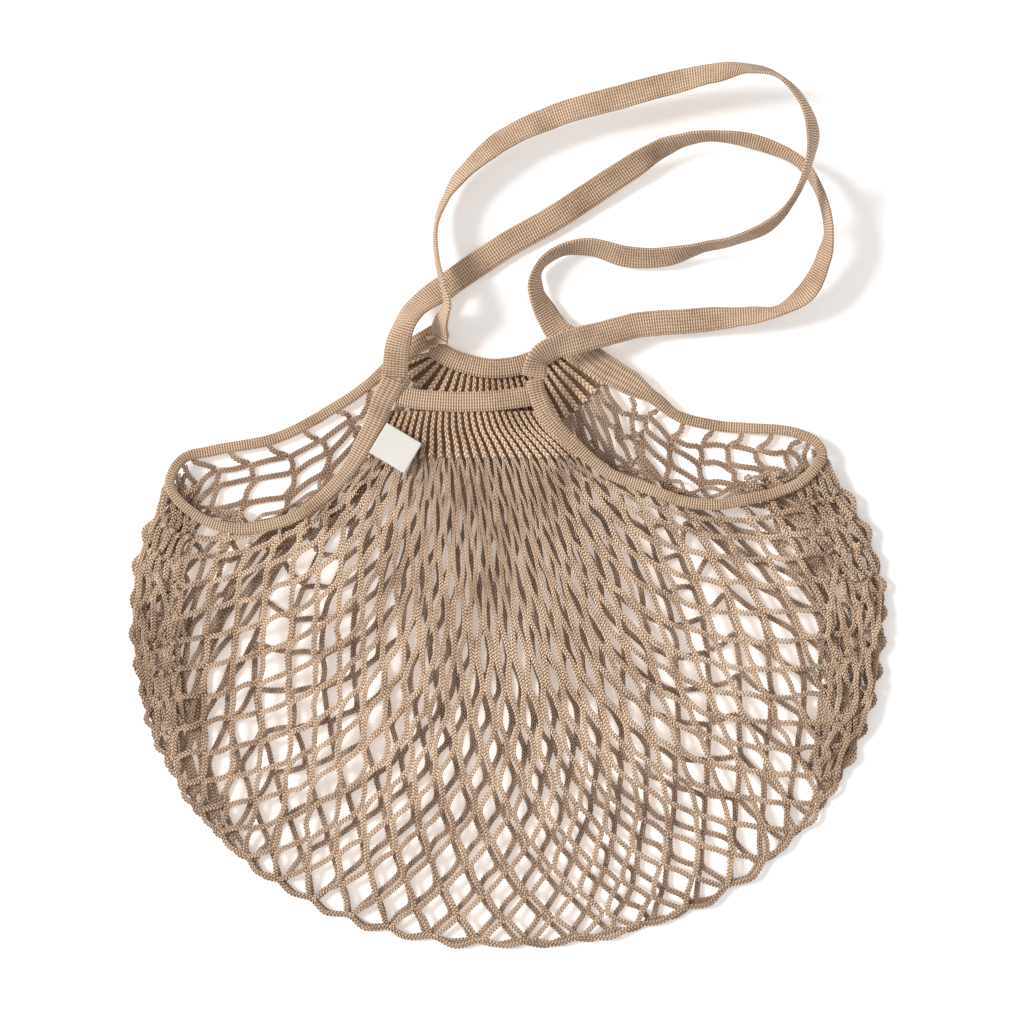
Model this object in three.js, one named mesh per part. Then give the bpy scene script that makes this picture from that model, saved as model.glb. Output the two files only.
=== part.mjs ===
// String shopping bag of knitted cotton cord, lying on its back with both handles thrown upward.
// Millimetres. +Z is up, +Y runs from the bottom fold to the handles, +X is to the right.
// The origin is on the surface it lies on, under the middle of the whole bag.

import * as THREE from 'three';

// The bag's outline is a superellipse about the middle of its widest line
const BAG_WIDTH = 415;
const BAG_DROP = 188;
const BAG_CROWN = 147;
const DROP_POWER = 2.15;
const CROWN_POWER = 2;

// Cord, tapes and clearances
const CORD = 3.6;
const HANDLE_WIDTH = 16.5;
const HANDLE_THICKNESS = 2.2;
const BINDING_WIDTH = 9;
const BINDING_THICKNESS = 2.2;
const CLEARANCE = 0.3;
const EDGE_CLEARANCE = 0.75;
const GATHER_CLEARANCE = 1.4;

// The bands that hold the gathered ribs, and the ribs below them
const BAND_SHIFT = -23.4;
const BAND_LEVEL = 113.6;
const FRONT_BAND_LENGTH = 76;
const BACK_BAND_LENGTH = 68;
const BAND_DEPTH = 11;
const BAND_THICKNESS = 6;
const FRONT_BAND_SAG = 3.5;
const BACK_BAND_SAG = 12;
const BACK_BAND_SET_BACK = 23;
const BACK_BAND_SHIFT = 18.7;
const BACK_TAPE_RISE = 12;
const RIB_LENGTH = 25;
const RIB_COUNT = 20;
const RIB_RELIEF = 1.2;
const FRONT_LIFT = 15.5;
const BACK_LIFT = 5.5;
const BACK_RIB_BULGE = 14;

// Where the back ribs begin, as a share of each mouth tape, and how many rows before its end they stop
const BACK_RIB_START = 0.985;
const LEFT_BACK_RIB_ROWS = 1.7;
const RIGHT_BACK_RIB_ROWS = 2.2;

// The netting: diamond columns and half rows, and how much of a diamond is open
const NET_COLUMNS = 11;
const NET_HALF_ROWS = 6;
const NET_OPENNESS = 0.74;
const EDGE_OPENNESS = 0.62;
const NET_RISE = 4;

// How far, in shares of a mouth tape, the nets' side edges end from the gather and from the corner
const FRONT_NET_GAP = 0.01;
const BACK_NET_GAP = 0.06;

// The mouth, its two corners on the outline, and the bunched netting below each corner
const MOUTH_SAG = 50;
const LEFT_CORNER_ANGLE = 152.8;
const RIGHT_CORNER_ANGLE = 34.1;
const GATHER_END_ANGLE = 21;
const GATHER_WIDTH = 27;
const GATHER_HEIGHT = 14;
const GATHER_PLEATS = 5;
const PLEAT_RELIEF = 1.3;

// A gather's top spans this many rows of the mouth tape. Its crest at an edge is a share of its full
// height, rounded by part of a sine wave, and its pleats fade by a share towards its end
const GATHER_TOP_ROWS = 1.35;
const GATHER_EDGE_HEIGHT = 0.55;
const GATHER_CREST_START = 0.12;
const GATHER_CREST_SPAN = 0.76;
const PLEAT_FADE = 0.6;

// The handles swing out to the right and up from the front band
const HANDLE_SWING = 200;
const HANDLE_REACH = 180;

// The woven label
const LABEL_WIDTH = 22.4;
const LABEL_DEPTH = 18.8;
const LABEL_THICKNESS = 0.8;
const LABEL_TURN = -31;
const LABEL_REACH = 15.5;
const LABEL_ROW = 2;
const LABEL_SEAT_ROW = 1.3;

// How finely routes are searched and solids are divided
const SEARCH_STEPS = 400;
const OUTLINE_SPANS = 10;
const GATHER_SPANS = 10;
const SAMPLES_PER_PLEAT = 4;
const SAMPLES_PER_RIB = 4;
const RIB_SPANS = 3;
const BAND_SPANS = 8;
const BAND_STATIONS = 12;
const MOUTH_STATIONS_PER_ROW = 3;
const HANDLE_STATIONS_PER_ROW = 2;

// Colours of the cotton and of the label
const COTTON = 0xb79a78;
const COTTON_LIGHT = 0xc4a886;
const LABEL_CLOTH = 0xe1ded7;

// Mouth tapes from the band out to the corner: across is the share of the way from the band to the
// corner, sag is a share of MOUTH_SAG, rise a share of HANDLE_WIDTH, roll in degrees, wide a share of
// BINDING_WIDTH
const LEFT_MOUTH_FRONT = [
  { across: 0.00, sag: 0.00, rise: 1.25, roll: 8, wide: 1.5 },
  { across: 0.05, sag: 0.20, rise: 1.16, roll: 4, wide: 1.45 },
  { across: 0.12, sag: 0.50, rise: 1.06, roll: 0, wide: 1.3 },
  { across: 0.23, sag: 0.80, rise: 0.98, roll: 0, wide: 1.1 },
  { across: 0.43, sag: 0.99, rise: 0.86, roll: 0, wide: 1 },
  { across: 0.69, sag: 0.84, rise: 0.74, roll: 0, wide: 1 },
  { across: 0.88, sag: 0.48, rise: 0.68, roll: 0, wide: 0.95 },
];
const LEFT_MOUTH_BACK = [
  { across: 1.00, sag: 0.00, rise: 0.62, roll: 0, wide: 0.9 },
  { across: 0.95, sag: -0.20, rise: 0.42, roll: 0, wide: 0.95 },
  { across: 0.84, sag: -0.11, rise: 0.27, roll: 0, wide: 1 },
  { across: 0.60, sag: 0.14, rise: 0.22, roll: 0, wide: 1 },
  { across: 0.41, sag: 0.165, rise: 0.24, roll: 0, wide: 1 },
  { across: 0.26, sag: 0.12, rise: 0.33, roll: 0, wide: 1 },
  { across: 0.13, sag: 0.00, rise: 0.45, roll: 8, wide: 1.05 },
  { across: 0.05, sag: -0.02, rise: 0.55, roll: 16, wide: 1.15 },
  { across: 0.00, sag: 0.00, rise: 0.64, roll: 26, wide: 1.3 },
];
const RIGHT_MOUTH_FRONT = [
  { across: 0.00, sag: 0.00, rise: 1.42, roll: 8, wide: 1.25 },
  { across: 0.02, sag: 0.24, rise: 1.32, roll: 4, wide: 1.25 },
  { across: 0.06, sag: 0.42, rise: 1.20, roll: 0, wide: 1.2 },
  { across: 0.12, sag: 0.56, rise: 1.10, roll: 0, wide: 1.1 },
  { across: 0.25, sag: 0.80, rise: 0.94, roll: 0, wide: 1 },
  { across: 0.39, sag: 0.86, rise: 0.82, roll: 0, wide: 1 },
  { across: 0.52, sag: 0.90, rise: 0.75, roll: 0, wide: 1 },
  { across: 0.63, sag: 0.84, rise: 0.70, roll: 0, wide: 1 },
  { across: 0.74, sag: 0.69, rise: 0.68, roll: 0, wide: 1 },
  { across: 0.84, sag: 0.53, rise: 0.67, roll: 0, wide: 0.95 },
  { across: 0.93, sag: 0.33, rise: 0.66, roll: 0, wide: 0.9 },
];
const RIGHT_MOUTH_BACK = [
  { across: 1.00, sag: 0.00, rise: 0.62, roll: 0, wide: 0.85 },
  { across: 0.98, sag: -0.12, rise: 0.50, roll: 0, wide: 0.85 },
  { across: 0.92, sag: -0.14, rise: 0.38, roll: 0, wide: 0.9 },
  { across: 0.84, sag: -0.08, rise: 0.30, roll: 0, wide: 0.95 },
  { across: 0.71, sag: 0.07, rise: 0.25, roll: 0, wide: 1 },
  { across: 0.59, sag: 0.20, rise: 0.24, roll: 0, wide: 1 },
  { across: 0.45, sag: 0.28, rise: 0.28, roll: 0, wide: 1 },
  { across: 0.36, sag: 0.21, rise: 0.40, roll: 0, wide: 1.1 },
  { across: 0.26, sag: 0.165, rise: 0.52, roll: 0, wide: 1.6 },
  { across: 0.18, sag: 0.14, rise: 0.56, roll: 0, wide: 1.7 },
  { across: 0.11, sag: 0.09, rise: 0.56, roll: 2, wide: 1.7 },
  { across: 0.05, sag: 0.03, rise: 0.54, roll: 8, wide: 1.7 },
  { across: 0.00, sag: 0.00, rise: 0.52, roll: 12, wide: 1.75 },
];

// Handles from left to right: side is a share of HANDLE_SWING and up a share of HANDLE_REACH, both from
// the middle of the front band, rise is a share of HANDLE_WIDTH, and roll is how far the left edge turns up
const FRONT_HANDLE = [
  { side: -0.184, up: 0.120, rise: 1.39, roll: 8 },
  { side: -0.179, up: 0.160, rise: 1.47, roll: 14 },
  { side: -0.160, up: 0.223, rise: 1.50, roll: 35 },
  { side: -0.124, up: 0.284, rise: 0.80, roll: 32 },
  { side: -0.049, up: 0.346, rise: 0.39, roll: 5 },
  { side: 0.034, up: 0.412, rise: 0.28, roll: -4 },
  { side: 0.119, up: 0.474, rise: 0.27, roll: -6 },
  { side: 0.236, up: 0.547, rise: 0.30, roll: -6 },
  { side: 0.354, up: 0.631, rise: 0.42, roll: -10 },
  { side: 0.452, up: 0.702, rise: 0.61, roll: -22 },
  { side: 0.533, up: 0.757, rise: 0.85, roll: -48 },
  { side: 0.604, up: 0.785, rise: 1.02, roll: -68 },
  { side: 0.670, up: 0.793, rise: 1.15, roll: -76 },
  { side: 0.789, up: 0.773, rise: 1.28, roll: -66 },
  { side: 0.908, up: 0.713, rise: 1.33, roll: -76 },
  { side: 0.964, up: 0.621, rise: 1.42, roll: -80 },
  { side: 0.988, up: 0.501, rise: 1.42, roll: -78 },
  { side: 0.976, up: 0.424, rise: 1.24, roll: -60 },
  { side: 0.935, up: 0.329, rise: 0.97, roll: -42 },
  { side: 0.856, up: 0.268, rise: 0.70, roll: -66 },
  { side: 0.773, up: 0.254, rise: 0.52, roll: -44 },
  { side: 0.645, up: 0.242, rise: 0.36, roll: -14 },
  { side: 0.480, up: 0.226, rise: 0.55, roll: -6 },
  { side: 0.388, up: 0.200, rise: 0.91, roll: -4 },
  { side: 0.303, up: 0.173, rise: 1.27, roll: 6 },
  { side: 0.235, up: 0.149, rise: 1.50, roll: 34 },
  { side: 0.200, up: 0.120, rise: 1.52, roll: 36 },
];
const BACK_HANDLE = [
  { side: -0.072, up: 0.185, rise: 0.70, roll: 34 },
  { side: -0.064, up: 0.225, rise: 0.90, roll: 52 },
  { side: -0.046, up: 0.282, rise: 1.28, roll: 76 },
  { side: -0.058, up: 0.345, rise: 1.36, roll: 82 },
  { side: -0.074, up: 0.425, rise: 1.15, roll: 84 },
  { side: -0.078, up: 0.517, rise: 0.91, roll: 84 },
  { side: -0.053, up: 0.603, rise: 0.79, roll: 74 },
  { side: -0.007, up: 0.679, rise: 0.79, roll: 56 },
  { side: 0.110, up: 0.787, rise: 0.91, roll: 30 },
  { side: 0.260, up: 0.861, rise: 1.03, roll: 20 },
  { side: 0.404, up: 0.904, rise: 1.21, roll: 16 },
  { side: 0.552, up: 0.946, rise: 1.45, roll: 20 },
  { side: 0.677, up: 0.974, rise: 1.82, roll: 36 },
  { side: 0.775, up: 0.981, rise: 2.18, roll: 64 },
  { side: 0.848, up: 0.953, rise: 2.48, roll: 76 },
  { side: 0.905, up: 0.882, rise: 2.67, roll: 68 },
  { side: 0.934, up: 0.790, rise: 2.67, roll: 58 },
  { side: 0.922, up: 0.690, rise: 2.62, roll: 74 },
  { side: 0.888, up: 0.596, rise: 2.18, roll: 80 },
  { side: 0.821, up: 0.516, rise: 1.70, roll: 68 },
  { side: 0.727, up: 0.475, rise: 1.21, roll: 76 },
  { side: 0.653, up: 0.460, rise: 0.91, roll: 74 },
  { side: 0.548, up: 0.432, rise: 0.64, roll: 48 },
  { side: 0.447, up: 0.433, rise: 0.52, roll: 42 },
  { side: 0.343, up: 0.463, rise: 0.52, roll: 54 },
  { side: 0.261, up: 0.451, rise: 0.58, roll: 70 },
  { side: 0.203, up: 0.399, rise: 0.58, roll: 74 },
  { side: 0.195, up: 0.332, rise: 0.56, roll: 54 },
  { side: 0.228, up: 0.254, rise: 0.46, roll: 24 },
];

// Bunched netting down the outline from the corner: along is the share of the way to its end, wide a
// share of GATHER_WIDTH, high a share of GATHER_HEIGHT
const GATHER_ROWS = [
  { along: 0, wide: 1, high: 1 },
  { along: 0.25, wide: 0.95, high: 0.95 },
  { along: 0.5, wide: 0.7, high: 0.75 },
  { along: 0.75, wide: 0.4, high: 0.55 },
  { along: 1, wide: 0.06, high: 0.4 },
];

// The nets stay clear of a gather's tip for this share of its length beyond its end
const GATHER_TIP = 0.14;

const UP = new THREE.Vector3(0, 0, 1);

const lerp = THREE.MathUtils.lerp;
const radians = THREE.MathUtils.degToRad;

// Outline point at an angle, in degrees, from the right end of the widest line
function outline(degrees) {
  const angle = radians(degrees);
  const above = Math.sin(angle) >= 0;
  const power = 2 / (above ? CROWN_POWER : DROP_POWER);
  const height = above ? BAG_CROWN : BAG_DROP;
  const across = Math.cos(angle);
  const up = Math.sin(angle);
  const x = Math.sign(across) * Math.abs(across) ** power * BAG_WIDTH / 2;
  const y = Math.sign(up) * Math.abs(up) ** power * height;
  return new THREE.Vector3(x, y, 0);
}

// Value of one column of a table at a share of the way down it, eased between rows
function tableValue(rows, column, share) {
  const place = THREE.MathUtils.clamp(share, 0, 1) * (rows.length - 1);
  const index = Math.min(Math.floor(place), rows.length - 2);
  return lerp(rows[index][column], rows[index + 1][column], THREE.MathUtils.smoothstep(place - index, 0, 1));
}

// A closed solid between an upper and a lower layer of the same triangles
function layeredSolid(upper, lower, triangles) {
  const positions = [];
  const indices = [];
  const open = new Map();
  for (const point of [...upper, ...lower]) {
    positions.push(point.x, point.y, point.z);
  }
  for (const [a, b, c] of triangles) {
    indices.push(a, b, c, a + upper.length, c + upper.length, b + upper.length);
    for (const [from, to] of [[a, b], [b, c], [c, a]]) {
      if (!open.delete(`${to},${from}`)) {
        open.set(`${from},${to}`, [from, to]);
      }
    }
  }
  for (const [from, to] of open.values()) {
    const below = to + upper.length;
    indices.push(from, from + upper.length, below, from, below, to);
  }
  const geometry = new THREE.BufferGeometry();
  geometry.setAttribute('position', new THREE.Float32BufferAttribute(positions, 3));
  geometry.setIndex(indices);
  return geometry;
}

// A sheet over a grid of shares, with its own upper and lower heights
function gridSheet(surface, across, along, upperHeight, lowerHeight) {
  const upper = [];
  const lower = [];
  const triangles = [];
  for (let j = 0; j <= along; j += 1) {
    for (let i = 0; i <= across; i += 1) {
      const point = surface(i / across, j / along);
      upper.push(point.clone().setZ(upperHeight(i / across, j / along, point.z)));
      lower.push(point.clone().setZ(lowerHeight(i / across, j / along, point.z)));
    }
  }
  const wide = across + 1;
  for (let j = 0; j < along; j += 1) {
    for (let i = 0; i < across; i += 1) {
      const corner = j * wide + i;
      triangles.push([corner, corner + wide, corner + wide + 1], [corner, corner + wide + 1, corner + 1]);
    }
  }
  return layeredSolid(upper, lower, triangles);
}

// A surface between four edge curves: inner and outer run across, left and right run from inner to outer
function edgedSurface(inner, outer, left, right) {
  const corners = [inner(0), inner(1), outer(0), outer(1)];
  return (across, along) => {
    const point = inner(across).multiplyScalar(1 - along);
    point.addScaledVector(outer(across), along);
    point.addScaledVector(left(along), 1 - across);
    point.addScaledVector(right(along), across);
    point.addScaledVector(corners[0], -(1 - across) * (1 - along));
    point.addScaledVector(corners[1], -across * (1 - along));
    point.addScaledVector(corners[2], -(1 - across) * along);
    point.addScaledVector(corners[3], -across * along);
    return point;
  };
}

// A route: a smooth curve through its rows, with the roll and width of the tape along it
function makeRoute(rows) {
  const curve = new THREE.CatmullRomCurve3(rows.map((row) => row.point), false, 'centripetal');
  return {
    rows,
    curve,
    roll: (share) => tableValue(rows, 'roll', share),
    width: (share) => tableValue(rows, 'width', share),
  };
}

// A tape with eased edges along a route; the end sections face the directions given for them
function tapeSolid(route, thickness, stations, startDirection, endDirection) {
  const section = [[-0.5, 0], [-0.42, -0.5], [0.42, -0.5], [0.5, 0], [0.42, 0.5], [-0.42, 0.5]];
  const positions = [];
  const indices = [];
  for (let k = 0; k <= stations; k += 1) {
    const share = k / stations;
    const centre = route.curve.getPoint(share);
    let direction = route.curve.getTangent(share);
    if (k === 0 && startDirection) {
      direction = startDirection.clone();
    }
    if (k === stations && endDirection) {
      direction = endDirection.clone();
    }
    const side = new THREE.Vector3().crossVectors(UP, direction).normalize();
    side.applyAxisAngle(direction, -radians(route.roll(share)));
    const face = new THREE.Vector3().crossVectors(direction, side).normalize();
    for (const [wide, thick] of section) {
      const point = centre.clone().addScaledVector(side, wide * route.width(share));
      point.addScaledVector(face, thick * thickness);
      positions.push(point.x, point.y, point.z);
    }
  }
  const sides = section.length;
  for (let k = 0; k < stations; k += 1) {
    for (let i = 0; i < sides; i += 1) {
      const a = k * sides + i;
      const b = k * sides + (i + 1) % sides;
      indices.push(a, b, b + sides, a, b + sides, a + sides);
    }
  }
  const last = stations * sides;
  for (let i = 1; i < sides - 1; i += 1) {
    indices.push(0, i + 1, i, last, last + i, last + i + 1);
  }
  const geometry = new THREE.BufferGeometry();
  geometry.setAttribute('position', new THREE.Float32BufferAttribute(positions, 3));
  geometry.setIndex(indices);
  return geometry;
}

// Ends of the two bands, where the mouth tapes and the handles come together
const frontBandMiddle = new THREE.Vector3(BAND_SHIFT, BAND_LEVEL, FRONT_LIFT);
const backBandMiddle = frontBandMiddle.clone().setZ(BACK_LIFT);
backBandMiddle.x += BACK_BAND_SHIFT;
backBandMiddle.y += BACK_BAND_SET_BACK;

function bandEnd(middle, length, side, rise) {
  return new THREE.Vector3(middle.x + side * length / 2, middle.y + rise, 0);
}

// Route of one mouth tape, from the front band to the corner and on to the back band
function mouthRoute(side, cornerAngle, frontRows, backRows) {
  const corner = outline(cornerAngle);
  const frontEnd = bandEnd(frontBandMiddle, FRONT_BAND_LENGTH, side, BAND_DEPTH);
  const backEnd = bandEnd(backBandMiddle, BACK_BAND_LENGTH, side, BACK_TAPE_RISE);
  const place = (end) => (row) => {
    const point = end.clone().lerp(corner, row.across);
    point.y -= row.sag * MOUTH_SAG;
    point.z = row.rise * HANDLE_WIDTH;
    return { point, roll: row.roll, width: row.wide * BINDING_WIDTH };
  };
  const route = makeRoute([...frontRows.map(place(frontEnd)), ...backRows.map(place(backEnd))]);
  route.corner = frontRows.length / (route.rows.length - 1);
  return route;
}

const leftMouth = mouthRoute(-1, LEFT_CORNER_ANGLE, LEFT_MOUTH_FRONT, LEFT_MOUTH_BACK);
const rightMouth = mouthRoute(1, RIGHT_CORNER_ANGLE, RIGHT_MOUTH_FRONT, RIGHT_MOUTH_BACK);

// Point beside a tape, clear of its edge; side 1 is the left of its direction
function beside(route, share, side) {
  const direction = route.curve.getTangent(share).setZ(0).normalize();
  const point = route.curve.getPoint(share);
  const reach = route.width(share) / 2 + EDGE_CLEARANCE;
  point.x -= direction.y * side * reach;
  point.y += direction.x * side * reach;
  return point;
}

// Share of a route at which the line beside it first comes down to a level
function shareAtLevel(route, side, level) {
  for (let k = 0; k < SEARCH_STEPS; k += 1) {
    if (beside(route, k / SEARCH_STEPS, side).y <= level) {
      return k / SEARCH_STEPS;
    }
  }
  return 1;
}

// Point beside a tape where it last passes a level, or its end
function lastBeside(route, side, level) {
  for (let k = SEARCH_STEPS; k > 0; k -= 1) {
    if (beside(route, k / SEARCH_STEPS, side).y <= level) {
      return beside(route, k / SEARCH_STEPS, side);
    }
  }
  return beside(route, 1, side);
}

// A handle runs between the ends of two mouth tapes, with a small gap at each joint
function handleRoute(rows, from, fromShare, to, toShare) {
  const outward = (route, share) => route.curve.getTangent(share).multiplyScalar(share === 0 ? -1 : 1);
  const start = outward(from, fromShare);
  const end = outward(to, toShare);
  const joint = (route, share, direction) => ({
    point: route.curve.getPoint(share).addScaledVector(direction, CLEARANCE),
    roll: route.roll(share) * (share === 0 ? -1 : 1),
    width: HANDLE_WIDTH,
  });
  const first = joint(from, fromShare, start);
  const last = joint(to, toShare, end);
  last.roll = -last.roll;
  const middle = rows.map((row) => ({
    point: new THREE.Vector3(
      frontBandMiddle.x + row.side * HANDLE_SWING,
      frontBandMiddle.y + row.up * HANDLE_REACH,
      row.rise * HANDLE_WIDTH,
    ),
    roll: row.roll,
    width: HANDLE_WIDTH,
  }));
  const route = makeRoute([first, ...middle, last]);
  route.startDirection = start;
  route.endDirection = end.clone().negate();
  return route;
}

const frontHandle = handleRoute(FRONT_HANDLE, leftMouth, 0, rightMouth, 0);
const backHandle = handleRoute(BACK_HANDLE, leftMouth, 1, rightMouth, 1);

// Route of a band from left to right, sagging between its ends
function bandRoute(middle, sag, left, right, lift) {
  const rows = [];
  for (let k = 0; k <= BAND_SPANS; k += 1) {
    const share = k / BAND_SPANS;
    const point = new THREE.Vector3(lerp(left, right, share), middle.y, lift);
    point.y -= sag * (4 * share * (1 - share) - 0.5);
    rows.push({ point, roll: 0, width: BAND_DEPTH });
  }
  return makeRoute(rows);
}

// Ribs that stand up and down across a ribbing
function ribWave(across) {
  return RIB_RELIEF * Math.cos(2 * Math.PI * RIB_COUNT * across);
}

function ribbingSolid(surface) {
  const wave = (offset) => (across, along, level) => level + offset + ribWave(across);
  return gridSheet(surface, RIB_COUNT * SAMPLES_PER_RIB, RIB_SPANS, wave(CORD / 2), wave(-CORD / 2));
}

// Front ribbing and band, both between the two front tapes
const frontBandTop = BAND_LEVEL + BAND_DEPTH / 2 + FRONT_BAND_SAG / 2;
const leftBandX = beside(leftMouth, shareAtLevel(leftMouth, 1, frontBandTop), 1).x;
const rightBandX = beside(rightMouth, shareAtLevel(rightMouth, -1, frontBandTop), -1).x;
const frontBandLift = FRONT_LIFT + 1;
const frontBandRoute = bandRoute(frontBandMiddle, FRONT_BAND_SAG, leftBandX, rightBandX, frontBandLift);
const frontRibTop = BAND_LEVEL - BAND_DEPTH / 2 - FRONT_BAND_SAG / 2 - CLEARANCE;
const frontRibEnd = frontRibTop - RIB_LENGTH;
const netStart = frontRibEnd - CLEARANCE;

function levelLine(level, lift) {
  const left = beside(leftMouth, shareAtLevel(leftMouth, 1, level), 1);
  const right = beside(rightMouth, shareAtLevel(rightMouth, -1, level), -1);
  return (across) => new THREE.Vector3(lerp(left.x, right.x, across), level, lift);
}

const frontRibbing = (across, along) => levelLine(lerp(frontRibTop, frontRibEnd, along), FRONT_LIFT)(across);

// Back band and the fan of ribs below it
const backBandTop = backBandMiddle.y + (BAND_DEPTH + BACK_BAND_SAG) / 2;
const backBandLeft = Math.max(lastBeside(leftMouth, -1, backBandTop).x, beside(backHandle, 0, -1).x);
const backBandRight = Math.min(lastBeside(rightMouth, 1, backBandTop).x, beside(backHandle, 1, -1).x);
const backBandLift = BACK_LIFT + 2;
const backBandRoute = bandRoute(backBandMiddle, BACK_BAND_SAG, backBandLeft, backBandRight, backBandLift);

// Edge of the netting beside a tape between two shares of its route, held at a lift of its own
function besideEdge(route, from, to, side, lift) {
  return (along) => {
    const point = beside(route, lerp(from, to, along), side);
    return lift === undefined ? point : point.setZ(lift);
  };
}

// Bunched netting below a corner: its top lies along the tape and its outer edge along the outline
function gatherEdges(route, side, cornerAngle) {
  const top = route.corner;
  const inner = top - GATHER_TOP_ROWS / (route.rows.length - 1);
  const endAngle = side < 0 ? 180 + GATHER_END_ANGLE : -GATHER_END_ANGLE;
  const outerPoints = [beside(route, top, -side)];
  const innerPoints = [beside(route, inner, -side)];
  for (const row of GATHER_ROWS.slice(1)) {
    const point = outline(lerp(cornerAngle, endAngle, row.along));
    outerPoints.push(point);
    innerPoints.push(point.clone().add(new THREE.Vector3(-side * row.wide * GATHER_WIDTH, 0, 0)));
  }
  const tip = GATHER_ROWS.at(-1).wide * GATHER_WIDTH;
  const past = outline(lerp(cornerAngle, endAngle, 1 + GATHER_TIP));
  past.x -= side * tip;
  for (const point of [...outerPoints, ...innerPoints]) {
    point.z = 0;
  }
  return {
    topFrom: top,
    topTo: inner,
    outer: new THREE.CatmullRomCurve3(outerPoints),
    inner: new THREE.CatmullRomCurve3(innerPoints),
    netEdge: [...innerPoints, past],
  };
}

const leftGather = gatherEdges(leftMouth, -1, LEFT_CORNER_ANGLE);
const rightGather = gatherEdges(rightMouth, 1, RIGHT_CORNER_ANGLE);

function gatherSolid(route, side, gather) {
  const top = (across) => beside(route, lerp(gather.topFrom, gather.topTo, across), -side).setZ(0);
  const outerEnd = gather.outer.getPoint(1);
  const innerEnd = gather.inner.getPoint(1);
  const bottom = (across) => outerEnd.clone().lerp(innerEnd, across);
  const outerEdge = (along) => gather.outer.getPoint(along);
  const innerEdge = (along) => gather.inner.getPoint(along);
  const surface = edgedSurface(top, bottom, outerEdge, innerEdge);
  const crest = (across, along) => {
    const body = tableValue(GATHER_ROWS, 'high', along) * GATHER_HEIGHT;
    const rounding = Math.sin(Math.PI * (GATHER_CREST_START + GATHER_CREST_SPAN * across));
    const pleats = Math.cos(2 * Math.PI * GATHER_PLEATS * across) * (1 - PLEAT_FADE * along);
    return body * lerp(GATHER_EDGE_HEIGHT, 1, rounding) + PLEAT_RELIEF * pleats;
  };
  const flip = side < 0 ? (across) => across : (across) => 1 - across;
  return gridSheet(
    (across, along) => surface(flip(across), along),
    GATHER_PLEATS * SAMPLES_PER_PLEAT,
    GATHER_SPANS,
    (across, along) => crest(flip(across), along),
    () => 0,
  );
}

// Outer edge of both nets: down the inside of the left gather, round the outline and up the right gather
function netOuterEdge(lift) {
  const inset = (gather, side) => gather.netEdge.map((point) => new THREE.Vector3(
    point.x - side * GATHER_CLEARANCE,
    point.y,
    0,
  ));
  const points = inset(leftGather, -1);
  for (let k = 1; k < OUTLINE_SPANS; k += 1) {
    points.push(outline(lerp(180 + GATHER_END_ANGLE, 360 - GATHER_END_ANGLE, k / OUTLINE_SPANS)));
  }
  points.push(...inset(rightGather, 1).reverse());
  for (const point of points) {
    point.z = lift;
  }
  return new THREE.CatmullRomCurve3(points, false, 'centripetal');
}

// Netting over a surface: diamonds with open middles, solid half diamonds along the tapes and ribs
function nettingSolid(surface) {
  const wide = 2 * NET_COLUMNS;
  const points = [];
  const triangles = [];
  const known = new Map();
  const vertex = (i, j) => {
    const key = `${i.toFixed(4)},${j.toFixed(4)}`;
    if (!known.has(key)) {
      known.set(key, points.length);
      points.push(surface(i / wide, j / NET_HALF_ROWS));
    }
    return known.get(key);
  };
  const fill = (corners) => {
    const ids = corners.map(([i, j]) => vertex(i, j));
    for (let k = 1; k < ids.length - 1; k += 1) {
      triangles.push([ids[0], ids[k], ids[k + 1]]);
    }
  };
  const pierce = (corners, centre, openness) => {
    const outer = corners.map(([i, j]) => vertex(i, j));
    const towards = ([i, j]) => vertex(lerp(centre[0], i, openness), lerp(centre[1], j, openness));
    const inner = corners.map(towards);
    for (let k = 0; k < corners.length; k += 1) {
      const next = (k + 1) % corners.length;
      triangles.push([outer[k], outer[next], inner[next]], [outer[k], inner[next], inner[k]]);
    }
  };
  const last = NET_HALF_ROWS;
  for (let j = 1; j < last; j += 1) {
    for (let i = 2 - j % 2; i < wide; i += 2) {
      pierce([[i - 1, j], [i, j + 1], [i + 1, j], [i, j - 1]], [i, j], NET_OPENNESS);
    }
  }
  for (let i = 2; i < wide; i += 2) {
    fill([[i, 1], [i + 1, 0], [i, 0], [i - 1, 0]]);
    const rim = [[i - 1, last], [i - 0.5, last], [i, last], [i + 0.5, last], [i + 1, last]];
    pierce([...rim, [i, last - 1]], [i, last - 1 / 3], EDGE_OPENNESS);
  }
  for (let j = 2; j < last; j += 2) {
    const steps = [-1, -0.5, 0, 0.5, 1];
    fill([[1, j], ...steps.map((step) => [0, j + step])]);
    fill([[wide - 1, j], ...steps.map((step) => [wide, j - step])]);
  }
  fill([[1, 0], [0, 0], [0, 0.5], [0, 1]]);
  fill([[wide - 1, 0], [wide, 1], [wide, 0.5], [wide, 0]]);
  fill([[1, last], [0, last - 1], [0, last - 0.5], [0, last]]);
  fill([[wide - 1, last], [wide, last], [wide, last - 0.5], [wide, last - 1]]);
  return { points, triangles };
}

function netMesh(surface) {
  const { points, triangles } = nettingSolid(surface);
  const upper = points.map((point) => point.clone().setZ(point.z + CORD / 2));
  const lower = points.map((point) => point.clone().setZ(point.z - CORD / 2));
  return layeredSolid(upper, lower, triangles);
}

// Front netting, from the rib ends to the fold, above the back netting
const frontFoldLift = 1.5 * CORD + CLEARANCE;
const frontOuter = netOuterEdge(frontFoldLift);
const frontInner = levelLine(netStart, FRONT_LIFT);
const frontLeftEnd = leftGather.topTo - FRONT_NET_GAP;
const frontRightEnd = rightGather.topTo - FRONT_NET_GAP;
const frontLeftEdge = besideEdge(leftMouth, shareAtLevel(leftMouth, 1, netStart), frontLeftEnd, 1);
const frontRightEdge = besideEdge(rightMouth, shareAtLevel(rightMouth, -1, netStart), frontRightEnd, -1);

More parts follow.
